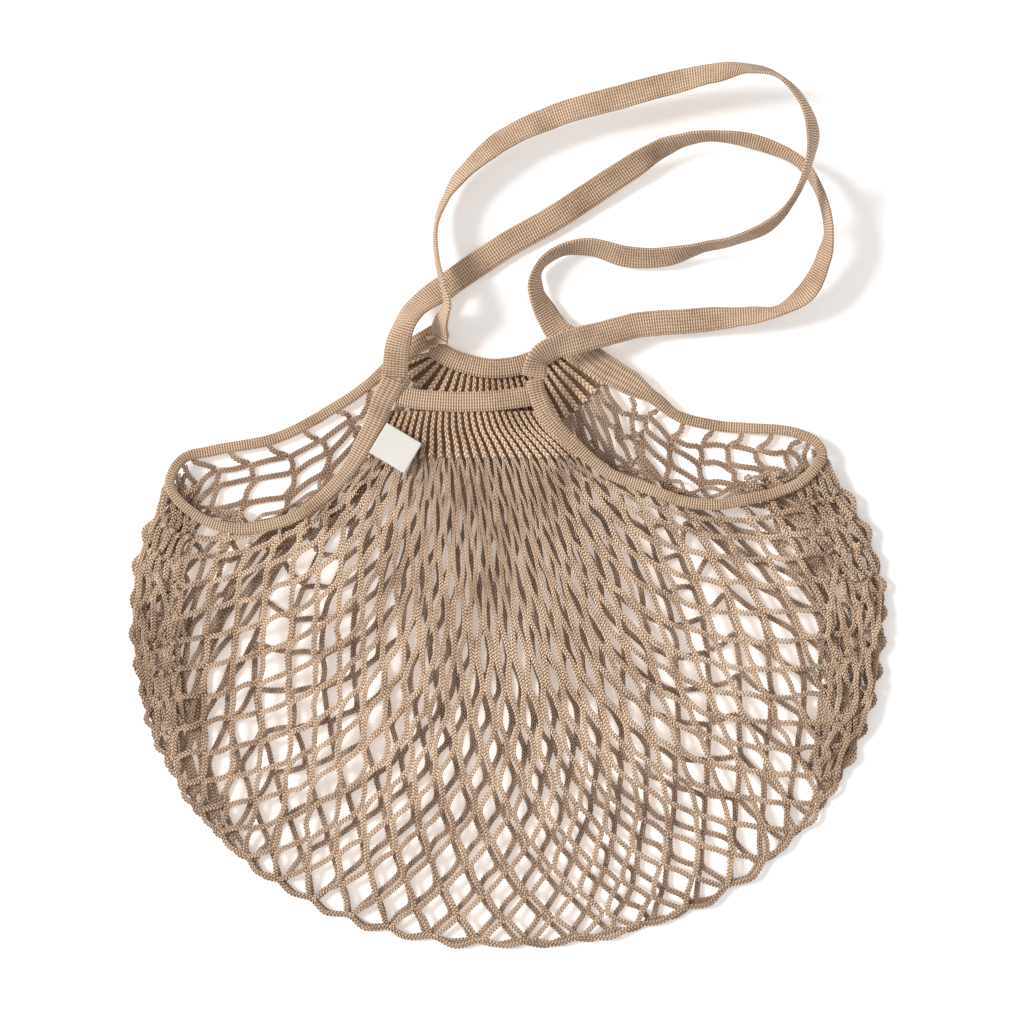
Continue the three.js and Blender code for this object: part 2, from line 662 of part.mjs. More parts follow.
// The same edge, moved so that it starts and ends at given points
function pinned(edge, start, end) {
  const first = edge(0);
  const last = edge(1);
  return (along) => edge(along)
    .addScaledVector(start.clone().sub(first), 1 - along)
    .addScaledVector(end.clone().sub(last), along);
}

const frontSheet = edgedSurface(
  frontInner,
  (across) => frontOuter.getPointAt(across),
  pinned(frontLeftEdge, frontInner(0), frontOuter.getPointAt(0)),
  pinned(frontRightEdge, frontInner(1), frontOuter.getPointAt(1)),
);
const frontNet = (across, along) => {
  const point = frontSheet(across, along);
  point.z += NET_RISE * Math.sin(Math.PI * across) * Math.sin(Math.PI * along);
  return point;
};

// Back ribbing and netting, flat on the surface
const leftRibShare = 1 - LEFT_BACK_RIB_ROWS / (leftMouth.rows.length - 1);
const rightRibShare = 1 - RIGHT_BACK_RIB_ROWS / (rightMouth.rows.length - 1);
const backRibTop = (across) => beside(backBandRoute, across, -1).setZ(BACK_LIFT);
const backRibEnd = (across) => {
  const left = beside(leftMouth, leftRibShare, -1);
  const right = beside(rightMouth, rightRibShare, 1);
  const point = left.lerp(right, across).setZ(BACK_LIFT);
  point.y -= 4 * across * (1 - across) * (RIB_LENGTH + BACK_RIB_BULGE);
  return point;
};
const leftRibEdge = besideEdge(leftMouth, BACK_RIB_START, leftRibShare, -1, BACK_LIFT);
const rightRibEdge = besideEdge(rightMouth, BACK_RIB_START, rightRibShare, 1, BACK_LIFT);
const backRibbing = edgedSurface(
  backRibTop,
  backRibEnd,
  pinned(leftRibEdge, backRibTop(0), backRibEnd(0)),
  pinned(rightRibEdge, backRibTop(1), backRibEnd(1)),
);

const backOuter = netOuterEdge(CORD / 2);
const backInner = (across) => {
  const point = backRibEnd(across).setZ(CORD / 2);
  point.y -= EDGE_CLEARANCE + CORD / 4;
  return point;
};
const backLeftEdge = besideEdge(leftMouth, leftRibShare, leftMouth.corner + BACK_NET_GAP, -1, CORD / 2);
const backRightEdge = besideEdge(rightMouth, rightRibShare, rightMouth.corner + BACK_NET_GAP, 1, CORD / 2);
const backNet = edgedSurface(
  backInner,
  (across) => backOuter.getPointAt(across),
  pinned(backLeftEdge, backInner(0), backOuter.getPointAt(0)),
  pinned(backRightEdge, backInner(1), backOuter.getPointAt(1)),
);

// The label lies on the left tape and the first ribs
function labelSolid() {
  const shape = new THREE.Shape();
  shape.moveTo(-LABEL_WIDTH / 2, -LABEL_DEPTH / 2);
  shape.lineTo(LABEL_WIDTH / 2, -LABEL_DEPTH / 2);
  shape.lineTo(LABEL_WIDTH / 2, LABEL_DEPTH / 2);
  shape.lineTo(-LABEL_WIDTH / 2, LABEL_DEPTH / 2);
  shape.closePath();
  return new THREE.ExtrudeGeometry(shape, { depth: LABEL_THICKNESS, bevelEnabled: false });
}

function addPiece(group, name, geometry, color, roughness = 0.95) {
  const material = new THREE.MeshStandardMaterial({ color, roughness, metalness: 0 });
  const mesh = new THREE.Mesh(geometry, material);
  mesh.name = name;
  group.add(mesh);
  return mesh;
}

const bag = new THREE.Group();
addPiece(bag, 'net_front', netMesh(frontNet), COTTON);
addPiece(bag, 'net_back', netMesh(backNet), COTTON);
addPiece(bag, 'left_gather', gatherSolid(leftMouth, -1, leftGather), COTTON);
addPiece(bag, 'right_gather', gatherSolid(rightMouth, 1, rightGather), COTTON);
addPiece(bag, 'front_ribbing', ribbingSolid(frontRibbing), COTTON);
addPiece(bag, 'back_ribbing', ribbingSolid(backRibbing), COTTON);
addPiece(bag, 'front_band', tapeSolid(frontBandRoute, BAND_THICKNESS, BAND_STATIONS), COTTON_LIGHT);
addPiece(bag, 'back_band', tapeSolid(backBandRoute, BAND_THICKNESS, BAND_STATIONS), COTTON_LIGHT);

function bindingSolid(route) {
  return tapeSolid(route, BINDING_THICKNESS, MOUTH_STATIONS_PER_ROW * (route.rows.length - 1));
}

function handleSolid(route) {
  const stations = HANDLE_STATIONS_PER_ROW * (route.rows.length - 1);
  return tapeSolid(route, HANDLE_THICKNESS, stations, route.startDirection, route.endDirection);
}

addPiece(bag, 'left_mouth_binding', bindingSolid(leftMouth), COTTON_LIGHT);
addPiece(bag, 'right_mouth_binding', bindingSolid(rightMouth), COTTON_LIGHT);
addPiece(bag, 'front_handle', handleSolid(frontHandle), COTTON_LIGHT);
addPiece(bag, 'back_handle', handleSolid(backHandle), COTTON_LIGHT);

const label = addPiece(bag, 'label', labelSolid(), LABEL_CLOTH, 0.8);
const labelPlace = leftMouth.curve.getPoint(LABEL_ROW / (leftMouth.rows.length - 1));
const seatPlace = leftMouth.curve.getPoint(LABEL_SEAT_ROW / (leftMouth.rows.length - 1));
const labelSeat = seatPlace.z + BINDING_THICKNESS / 2 + CLEARANCE;
label.position.set(labelPlace.x + LABEL_REACH, labelPlace.y, labelSeat);
label.rotation.z = radians(LABEL_TURN);

// Stand the whole bag on its origin
bag.updateMatrixWorld(true);
const box = new THREE.Box3().setFromObject(bag);
const middle = box.getCenter(new THREE.Vector3());
for (const mesh of bag.children) {
  mesh.position.sub(new THREE.Vector3(middle.x, middle.y, box.min.z));
}

export default bag;
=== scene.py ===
import math

import bpy
import numpy as np
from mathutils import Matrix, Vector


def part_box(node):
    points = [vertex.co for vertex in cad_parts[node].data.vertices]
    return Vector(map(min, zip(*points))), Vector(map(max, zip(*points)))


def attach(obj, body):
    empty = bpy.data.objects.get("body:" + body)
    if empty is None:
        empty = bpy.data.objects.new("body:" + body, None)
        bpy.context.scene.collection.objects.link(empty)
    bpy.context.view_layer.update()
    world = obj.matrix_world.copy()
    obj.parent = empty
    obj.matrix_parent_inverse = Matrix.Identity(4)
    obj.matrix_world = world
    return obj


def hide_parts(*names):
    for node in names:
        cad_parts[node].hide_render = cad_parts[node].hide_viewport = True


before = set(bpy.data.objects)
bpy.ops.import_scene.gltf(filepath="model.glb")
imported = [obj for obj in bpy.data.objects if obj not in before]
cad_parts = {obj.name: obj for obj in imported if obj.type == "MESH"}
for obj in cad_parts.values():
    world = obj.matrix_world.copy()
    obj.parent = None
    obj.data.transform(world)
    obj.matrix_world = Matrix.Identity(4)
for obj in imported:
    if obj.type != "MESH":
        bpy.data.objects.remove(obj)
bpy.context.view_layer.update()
stage = bpy.context.scene

# Sizes in millimetres, in the bag's own frame: its origin is the middle of the widest line
MM = 0.001
BAG_WIDTH = 415
BAG_DROP = 188
BAG_CROWN = 147
DROP_POWER = 2.15
CROWN_POWER = 2
HANDLE_WIDTH = 16.5
HANDLE_TAPE_WIDTH = 14.2
HANDLE_THICKNESS = 2.2
BINDING_THICKNESS = 2.2
BAND_SHIFT = -23.4
BAND_LEVEL = 113.6
FRONT_BAND_LENGTH = 76
BACK_BAND_LENGTH = 68
BAND_DEPTH = 11
BAND_POINTS = 9
BAND_THICKNESS = 6
FRONT_BAND_SAG = 3.5
BACK_BAND_SAG = 12
BACK_BAND_SET_BACK = 23
BACK_BAND_SHIFT = 18.7
BACK_TAPE_RISE = 12
RIB_LENGTH = 25
BACK_RIB_BULGE = 14
FRONT_LIFT = 15.5
BACK_LIFT = 5.5
MOUTH_SAG = 50
LEFT_CORNER_ANGLE = 152.8
RIGHT_CORNER_ANGLE = 34.1
HANDLE_SWING = 200
HANDLE_REACH = 180
LABEL_WIDTH = 22.4
LABEL_DEPTH = 18.8
LABEL_THICKNESS = 0.8
LABEL_TURN = -31
LABEL_REACH = 15.5
LABEL_DROP = 6

# The netting: MESH is a cord's length from joint to joint, CORD_GAP lies between the two cords of a joint.
# A cord has its full thickness where columns of joints are FULL_PITCH apart, and less where they are closer
MESH = 19.5
RIBS = 24
CORD_GAP = 2.9
JOINT = 4.4
FULL_PITCH = 9.5
THIN_CORD = 0.45
THIN_BACK_CORD = 0.95
FRONT_ROWS = 16
FRONT_LEFT_CELLS = 11
FRONT_RIGHT_CELLS = 13
BACK_ROWS = 17
BACK_LEFT_CELLS = 9
BACK_RIGHT_CELLS = 10
BUNCHED = 5
BACK_BUNCHED = 3
BUNCHED_MESH = 5.6
MOUTH_LINE_GAPS = (8.5, 18, 28, 39)
# Along the fold: cells are WIDE_MESH as wide in the middle, over about WIDE_CELLS cells
FOLD_INSET = 4.6
FOLD_MESH = MESH * 0.97
WIDE_MESH = 2.0
WIDE_CELLS = 8
CORNER_REACH = 60
FOLD_CENTRE = np.array([0, -40, 0])
# The bunched cords below the corners of the mouth: listed guides, and widths along them
LEFT_BUNCH = [(-174, 66, 8), (-189, 44, 8), (-193, 8, 8), (-191, -30, 7), (-181, -62, 5)]
LEFT_BUNCH_WIDTHS = [18, 30, 34, 30, 16]
RIGHT_BUNCH = [(148, 60, 7), (171, 47, 8), (187, 15, 8), (190, -25, 7), (184, -62, 6), (172, -94, 5)]
RIGHT_BUNCH_WIDTHS = [16, 34, 40, 36, 28, 14]
BUNCH_WANDER = 0.6

# The cord: three plaited strands, STITCH to a full turn, with a ring of points every RING
STITCH = 5.8
STRAND_RADIUS = 0.62
STRAND_SWAY = 1.27
STRAND_LIFT = 0.75
STRAND_SIDES = 3
RING = 0.95

# The rib: a chain of stitches, full-sized where the ribs are RIB_PITCH apart
RIB_PITCH = 4.4
RIB_STITCH = 8.4
RIB_HEIGHT = 0.9
BACKING_TOP = -1.2
BACKING_BOTTOM = -2.4

# Tapes: narrow, curled mouth tapes, and ridges for the rows of stitches
TAPE_STITCH = 1.4
MOUTH_TAPE_WIDTH = 6.1
NARROWEST_TAPE = 5.6
TAPE_SPREAD = 13

# Colours in linear light: cotton is blended from light to dark by its flecks
CORD_COLOURS = ((0.95, 0.74, 0.55), (0.50, 0.315, 0.20))
RIB_COLOURS = ((0.90, 0.68, 0.49), (0.45, 0.28, 0.17))
# The backing's colours are the cotton darkened with painted shade, for its place below the ribs
SHADED_BACKING_COLOURS = ((0.32, 0.19, 0.12), (0.15, 0.08, 0.045))
TAPE_COLOURS = ((0.84, 0.64, 0.47), (0.52, 0.355, 0.235))
PLAIT_SHADE = (0.50, 0.40, 0.33)
DEEP_SHADE = (0.33, 0.23, 0.17)
STITCH_SHADE = (0.40, 0.29, 0.22)
LABEL_COLOUR = (0.74, 0.71, 0.66, 1)
FLOOR_COLOUR = (0.94, 0.94, 0.94, 1)
FLOOR_GLOW = (0.25, 0.239, 0.23)
GLOW_BELOW_BAG = (0.37, 0.308, 0.265)
# The glow below the bag is an oval, with these reaches in metres
GLOW_REACH_ACROSS = 0.215
GLOW_REACH_UP = 0.172

# The bag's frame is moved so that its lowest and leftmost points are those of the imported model
net_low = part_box("net_back")[0]
gather_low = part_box("left_gather")[0]
SHIFT = np.array([gather_low.x / MM + BAG_WIDTH / 2, net_low.y / MM + BAG_DROP, 0.0])

# Mouth tapes: across, sag, rise, roll, wide, as in the part's source, but wider at the left back end
LEFT_MOUTH_FRONT = [
    (0.00, 0.00, 1.25, 8, 1.5), (0.05, 0.20, 1.16, 4, 1.45), (0.12, 0.50, 1.06, 0, 1.3),
    (0.23, 0.80, 0.98, 0, 1.1), (0.43, 0.99, 0.86, 0, 1), (0.69, 0.84, 0.74, 0, 1),
    (0.88, 0.48, 0.68, 0, 0.95),
]
LEFT_MOUTH_BACK = [
    (1.00, 0.00, 0.62, 0, 0.9), (0.95, -0.20, 0.42, 0, 0.95), (0.84, -0.11, 0.27, 0, 1),
    (0.60, 0.14, 0.22, 0, 1), (0.41, 0.165, 0.24, 0, 1), (0.26, 0.12, 0.33, 0, 1),
    (0.13, 0.00, 0.45, 8, 1.2), (0.05, -0.02, 0.55, 16, 1.4), (0.00, 0.00, 0.64, 26, 1.6),
]
RIGHT_MOUTH_FRONT = [
    (0.00, 0.00, 1.42, 8, 1.25), (0.02, 0.24, 1.32, 4, 1.25), (0.06, 0.42, 1.20, 0, 1.2),
    (0.12, 0.56, 1.10, 0, 1.1), (0.25, 0.80, 0.94, 0, 1), (0.39, 0.86, 0.82, 0, 1),
    (0.52, 0.90, 0.75, 0, 1), (0.63, 0.84, 0.70, 0, 1), (0.74, 0.69, 0.68, 0, 1),
    (0.84, 0.53, 0.67, 0, 0.95), (0.93, 0.33, 0.66, 0, 0.9),
]
RIGHT_MOUTH_BACK = [
    (1.00, 0.00, 0.62, 0, 0.85), (0.98, -0.12, 0.50, 0, 0.85), (0.92, -0.14, 0.38, 0, 0.9),
    (0.84, -0.08, 0.30, 0, 0.95), (0.71, 0.07, 0.25, 0, 1), (0.59, 0.20, 0.24, 0, 1),
    (0.45, 0.28, 0.28, 0, 1), (0.36, 0.21, 0.40, 0, 1.1), (0.26, 0.165, 0.52, 0, 1.6),
    (0.18, 0.14, 0.56, 0, 1.7), (0.11, 0.09, 0.56, 2, 1.7), (0.05, 0.03, 0.54, 8, 1.7),
    (0.00, 0.00, 0.52, 12, 1.75),
]

# Handles: side, up, rise, roll, as in the part's source
FRONT_HANDLE = [
    (-0.184, 0.120, 1.39, 8), (-0.179, 0.160, 1.47, 14), (-0.160, 0.223, 1.50, 35),
    (-0.124, 0.284, 0.80, 32), (-0.049, 0.346, 0.39, 5), (0.034, 0.412, 0.28, -4),
    (0.119, 0.474, 0.27, -6), (0.236, 0.547, 0.30, -6), (0.354, 0.631, 0.42, -10),
    (0.452, 0.702, 0.61, -22), (0.533, 0.757, 0.85, -48), (0.604, 0.785, 1.02, -68),
    (0.670, 0.793, 1.15, -76), (0.789, 0.773, 1.28, -66), (0.908, 0.713, 1.33, -76),
    (0.964, 0.621, 1.42, -80), (0.988, 0.501, 1.42, -78), (0.976, 0.424, 1.24, -60),
    (0.935, 0.329, 0.97, -42), (0.856, 0.268, 0.70, -66), (0.773, 0.254, 0.52, -44),
    (0.645, 0.242, 0.36, -14), (0.480, 0.226, 0.55, -6), (0.388, 0.200, 0.91, -4),
    (0.303, 0.173, 1.27, 6), (0.235, 0.149, 1.50, 34), (0.200, 0.120, 1.52, 36),
]
BACK_HANDLE = [
    (-0.072, 0.185, 0.70, 34), (-0.064, 0.225, 0.90, 52), (-0.046, 0.282, 1.28, 76),
    (-0.058, 0.345, 1.36, 82), (-0.074, 0.425, 1.15, 84), (-0.078, 0.517, 0.91, 84),
    (-0.053, 0.603, 0.79, 74), (-0.007, 0.679, 0.79, 56), (0.110, 0.787, 0.91, 30),
    (0.260, 0.861, 1.03, 20), (0.404, 0.904, 1.21, 16), (0.552, 0.946, 1.45, 20),
    (0.677, 0.974, 1.82, 36), (0.775, 0.981, 2.18, 64), (0.848, 0.953, 2.48, 76),
    (0.905, 0.882, 2.67, 68), (0.934, 0.790, 2.67, 58), (0.922, 0.690, 2.62, 74),
    (0.888, 0.596, 2.18, 80), (0.821, 0.516, 1.70, 68), (0.727, 0.475, 1.21, 76),
    (0.653, 0.460, 0.91, 74), (0.548, 0.432, 0.64, 48), (0.447, 0.433, 0.52, 42),
    (0.343, 0.463, 0.52, 54), (0.261, 0.451, 0.58, 70), (0.203, 0.399, 0.58, 74),
    (0.195, 0.332, 0.56, 54), (0.228, 0.254, 0.46, 24),
]

rng = np.random.default_rng(7)


def smooth(t):
    t = np.clip(t, 0, 1)
    return t * t * (3 - 2 * t)


def unit(v):
    return v / np.maximum(np.linalg.norm(v, axis=-1, keepdims=True), 1e-9)


def outline(degrees):
    """Outline points at angles in degrees from the right end of the widest line."""
    angle = np.radians(np.asarray(degrees, float))
    across, up = np.cos(angle), np.sin(angle)
    above = up >= 0
    power = np.where(above, 2 / CROWN_POWER, 2 / DROP_POWER)
    height = np.where(above, BAG_CROWN, BAG_DROP)
    x = np.sign(across) * np.abs(across) ** power * BAG_WIDTH / 2
    y = np.sign(up) * np.abs(up) ** power * height
    return np.stack([x, y, np.zeros_like(x)], -1)


def curve_points(points, shares):
    """Centripetal Catmull-Rom curve through points, at shares of its spans."""
    p = np.asarray(points, float)
    last = len(p) - 1
    place = np.clip(np.asarray(shares, float), 0, 1) * last
    i = np.minimum(place.astype(int), last - 1)
    w = (place - i)[:, None]
    padded = np.vstack([2 * p[0] - p[1], p, 2 * p[-1] - p[-2]])
    p0, p1, p2, p3 = padded[i], padded[i + 1], padded[i + 2], padded[i + 3]
    d0, d1, d2 = [np.sqrt(np.linalg.norm(step, axis=1))[:, None] for step in (p1 - p0, p2 - p1, p3 - p2)]
    d1 = np.where(d1 < 1e-4, 1, d1)
    d0 = np.where(d0 < 1e-4, d1, d0)
    d2 = np.where(d2 < 1e-4, d1, d2)
    t1 = ((p1 - p0) / d0 - (p2 - p0) / (d0 + d1) + (p2 - p1) / d1) * d1
    t2 = ((p2 - p1) / d1 - (p3 - p1) / (d1 + d2) + (p3 - p2) / d2) * d1
    c2 = -3 * p1 + 3 * p2 - 2 * t1 - t2
    c3 = 2 * p1 - 2 * p2 + t1 + t2
    return p1 + t1 * w + c2 * w**2 + c3 * w**3


def table(values, shares):
    """Values of a table at shares of the way down it, eased between rows."""
    values = np.asarray(values, float)
    place = np.clip(np.asarray(shares, float), 0, 1) * (len(values) - 1)
    i = np.minimum(place.astype(int), len(values) - 2)
    t = smooth(place - i)
    return values[i] * (1 - t) + values[i + 1] * t


def lengths_along(points):
    """Length of a polyline up to each of its points."""
    return np.r_[0, np.cumsum(np.linalg.norm(np.diff(points[:, :3], axis=0), axis=1))]


def along_line(points, lengths, at):
    """Points of a polyline at given lengths along it."""
    return np.stack([np.interp(at, lengths, points[:, k]) for k in range(points.shape[1])], -1)


def arc_resample(points, count=None, step=None):
    """Points at even distances along a polyline."""
    points = np.asarray(points, float)
    lengths = lengths_along(points)
    if count is None:
        count = max(2, int(round(lengths[-1] / step)) + 1)
    return along_line(points, lengths, np.linspace(0, lengths[-1], count))


class Route:
    """A tape's route: its curve, and its roll and width along it."""

    def __init__(self, points, rolls, widths):
        self.points = np.asarray(points, float)
        self.rolls = rolls
        self.widths = widths
        self.spans = len(points) - 1

    def at(self, shares):
        return curve_points(self.points, np.atleast_1d(shares))

    def tangent(self, shares):
        shares = np.atleast_1d(shares)
        a = np.clip(shares - 1e-4, 0, 1)
        b = np.clip(shares + 1e-4, 0, 1)
        return unit(self.at(b) - self.at(a))

    def roll(self, shares):
        return table(self.rolls, np.atleast_1d(shares))

    def width(self, shares):
        return table(self.widths, np.atleast_1d(shares))

    def beside(self, shares, side, gap=0.75):
        """Points a gap away from the tape's left edge (side 1) or right edge (side -1)."""
        shares = np.atleast_1d(shares)
        direction = self.tangent(shares)
        direction[:, 2] = 0
        direction = unit(direction)
        point = self.at(shares)
        reach = (self.width(shares) / 2 + gap)[:, None]
        point[:, :2] += np.stack([-direction[:, 1], direction[:, 0]], -1) * side * reach
        return point


front_middle = np.array([BAND_SHIFT, BAND_LEVEL, FRONT_LIFT])
back_middle = np.array([BAND_SHIFT + BACK_BAND_SHIFT, BAND_LEVEL + BACK_BAND_SET_BACK, BACK_LIFT])


def mouth_route(side, corner_angle, front_rows, back_rows):
    """A mouth tape, from the front band around the corner to the back band."""
    corner = outline([corner_angle])[0]
    front_end = front_middle + [side * FRONT_BAND_LENGTH / 2, BAND_DEPTH, 0]
    back_end = back_middle + [side * BACK_BAND_LENGTH / 2, BACK_TAPE_RISE, 0]
    points, rolls, widths = [], [], []
    for end, rows in ((front_end, front_rows), (back_end, back_rows)):
        for across, sag, rise, roll, wide in rows:
            point = end * (1 - across) + corner * across
            point[1] -= sag * MOUTH_SAG
            point[2] = rise * HANDLE_WIDTH
            points.append(point)
            rolls.append(roll)
            widths.append(max(NARROWEST_TAPE, MOUTH_TAPE_WIDTH + (wide - 1) * TAPE_SPREAD))
    route = Route(points, rolls, widths)
    route.corner = len(front_rows) / route.spans
    return route


left_mouth = mouth_route(-1, LEFT_CORNER_ANGLE, LEFT_MOUTH_FRONT, LEFT_MOUTH_BACK)
right_mouth = mouth_route(1, RIGHT_CORNER_ANGLE, RIGHT_MOUTH_FRONT, RIGHT_MOUTH_BACK)


def handle_route(rows, end):
    """A handle between the two mouth tapes, from their front ends (end 0) or their back ends (end 1)."""
    outward = 2 * end - 1
    first = left_mouth.at(end)[0] + left_mouth.tangent(end)[0] * outward * 0.3
    last = right_mouth.at(end)[0] + right_mouth.tangent(end)[0] * outward * 0.3
    scale = np.array([HANDLE_SWING, HANDLE_REACH, HANDLE_WIDTH])
    base = np.array([front_middle[0], front_middle[1], 0])
    points = [first]
    points += [base + np.array([side, up, rise]) * scale for side, up, rise, roll in rows]
    points.append(last)
    rolls = [left_mouth.rolls[-end] * outward]
    rolls += [roll for side, up, rise, roll in rows]
    rolls.append(-right_mouth.rolls[-end] * outward)
    return Route(points, rolls, [HANDLE_TAPE_WIDTH] * len(points))


front_handle = handle_route(FRONT_HANDLE, 0)
back_handle = handle_route(BACK_HANDLE, 1)


def share_at_level(route, side, level):
    """The share of a route at which its edge first comes down to a level."""
    shares = np.linspace(0, 1, 401)
    below = np.nonzero(route.beside(shares, side)[:, 1] <= level)[0]
    return shares[below[0]]


def to_scene(points):
    return (np.asarray(points, float) + SHIFT) * MM


def add_mesh(name, vertices, faces, material, node, uvs=None):
    """A mesh piece from vertices in the bag's frame; it rides on the bag and replaces CAD nodes."""
    mesh = bpy.data.meshes.new(name)
    faces = np.asarray(faces, np.int32)
    mesh.vertices.add(len(vertices))
    mesh.vertices.foreach_set("co", to_scene(vertices).astype(np.float32).ravel())
    mesh.loops.add(faces.size)
    mesh.loops.foreach_set("vertex_index", faces.ravel())
    mesh.polygons.add(len(faces))
    mesh.polygons.foreach_set("loop_start", np.arange(0, faces.size, faces.shape[1], dtype=np.int32))
    mesh.polygons.foreach_set("use_smooth", np.full(len(faces), True))
    if uvs is not None:
        layer = mesh.uv_layers.new(name="UVMap")
        layer.data.foreach_set("uv", np.asarray(uvs, np.float32)[faces.ravel()].ravel())
    mesh.update(calc_edges=True)
    mesh.validate()
    mesh.materials.append(material)
    piece = bpy.data.objects.new(name, mesh)
    stage.collection.objects.link(piece)
    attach(piece, "root")
    if node:
        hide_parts(*node)
    return piece


def openness(points):
    """Share of light at points of a cord: less low down, in the bunches and below the close netting."""
    x, y, z = points.T
    height = np.clip(0.46 + 0.54 * (z - 2) / 7, 0, 1)
    bunched = smooth((np.abs(x) - 150) / 25) * smooth((y + 110) / 50)
    cover = np.exp(-(((x + 8) / 80) ** 2) - ((y - 60) / 64) ** 2) * (z < 5.4)
    return height * (1 - 0.7 * cover) * (1 - 0.24 * bunched)


def strands_mesh(paths, ring=RING, sway=STRAND_SWAY, lift=STRAND_LIFT, radius=STRAND_RADIUS,
                 sides=STRAND_SIDES, stitch=STITCH):
    """Vertices, faces and UVs of cords, each a plait of three strands along a path of points and thickness.

    U counts the turns of a strand, and V is the share of light.
    """
    all_vertices, all_faces, all_uvs = [], [], []
    start = 0
    around = math.pi / 2 + np.arange(sides) * 2 * math.pi / sides
    for path in paths:
        samples = arc_resample(path, step=ring)
        points, thickness = samples[:, :3], samples[:, 3]
        count = len(points)
        if count < 4:
            continue
        tangent = unit(np.gradient(points, axis=0))
        lateral = unit(np.cross(tangent, [0, 0, 1.0]) + 1e-6)
        normal = np.cross(lateral, tangent)
        s = np.arange(count) * ring
        phase = rng.uniform(0, 2 * math.pi)
        taper = np.ones(count)
        taper[0] = taper[-1] = 0.02
        for ply in range(3):
            turn = 2 * math.pi * (s / stitch + ply / 3) + phase
            centre = (points + (sway * thickness * np.sin(turn))[:, None] * lateral
                      + (lift * thickness * np.sin(2 * turn))[:, None] * normal)
            along = unit(np.gradient(centre, axis=0))
            side = unit(np.cross(along, [0, 0, 1.0]) + 1e-6)
            up = np.cross(side, along)
            reach = radius * taper * thickness
            ring_points = (centre[:, None, :]
                           + (reach[:, None] * np.cos(around))[:, :, None] * side[:, None, :]
                           + (reach[:, None] * np.sin(around))[:, :, None] * up[:, None, :])
            all_vertices.append(ring_points.reshape(-1, 3))
            a = np.arange(count - 1)[:, None] * sides + np.arange(sides)[None, :]
            b = np.roll(a, -1, axis=1)
            all_faces.append(np.stack([a, a + sides, b + sides, b], -1).reshape(-1, 4) + start)
            turns = np.repeat(turn / (2 * math.pi), sides)
            all_uvs.append(np.stack([turns, np.repeat(openness(points), sides)], -1))
            start += count * sides
    return np.vstack(all_vertices), np.vstack(all_faces), np.vstack(all_uvs)


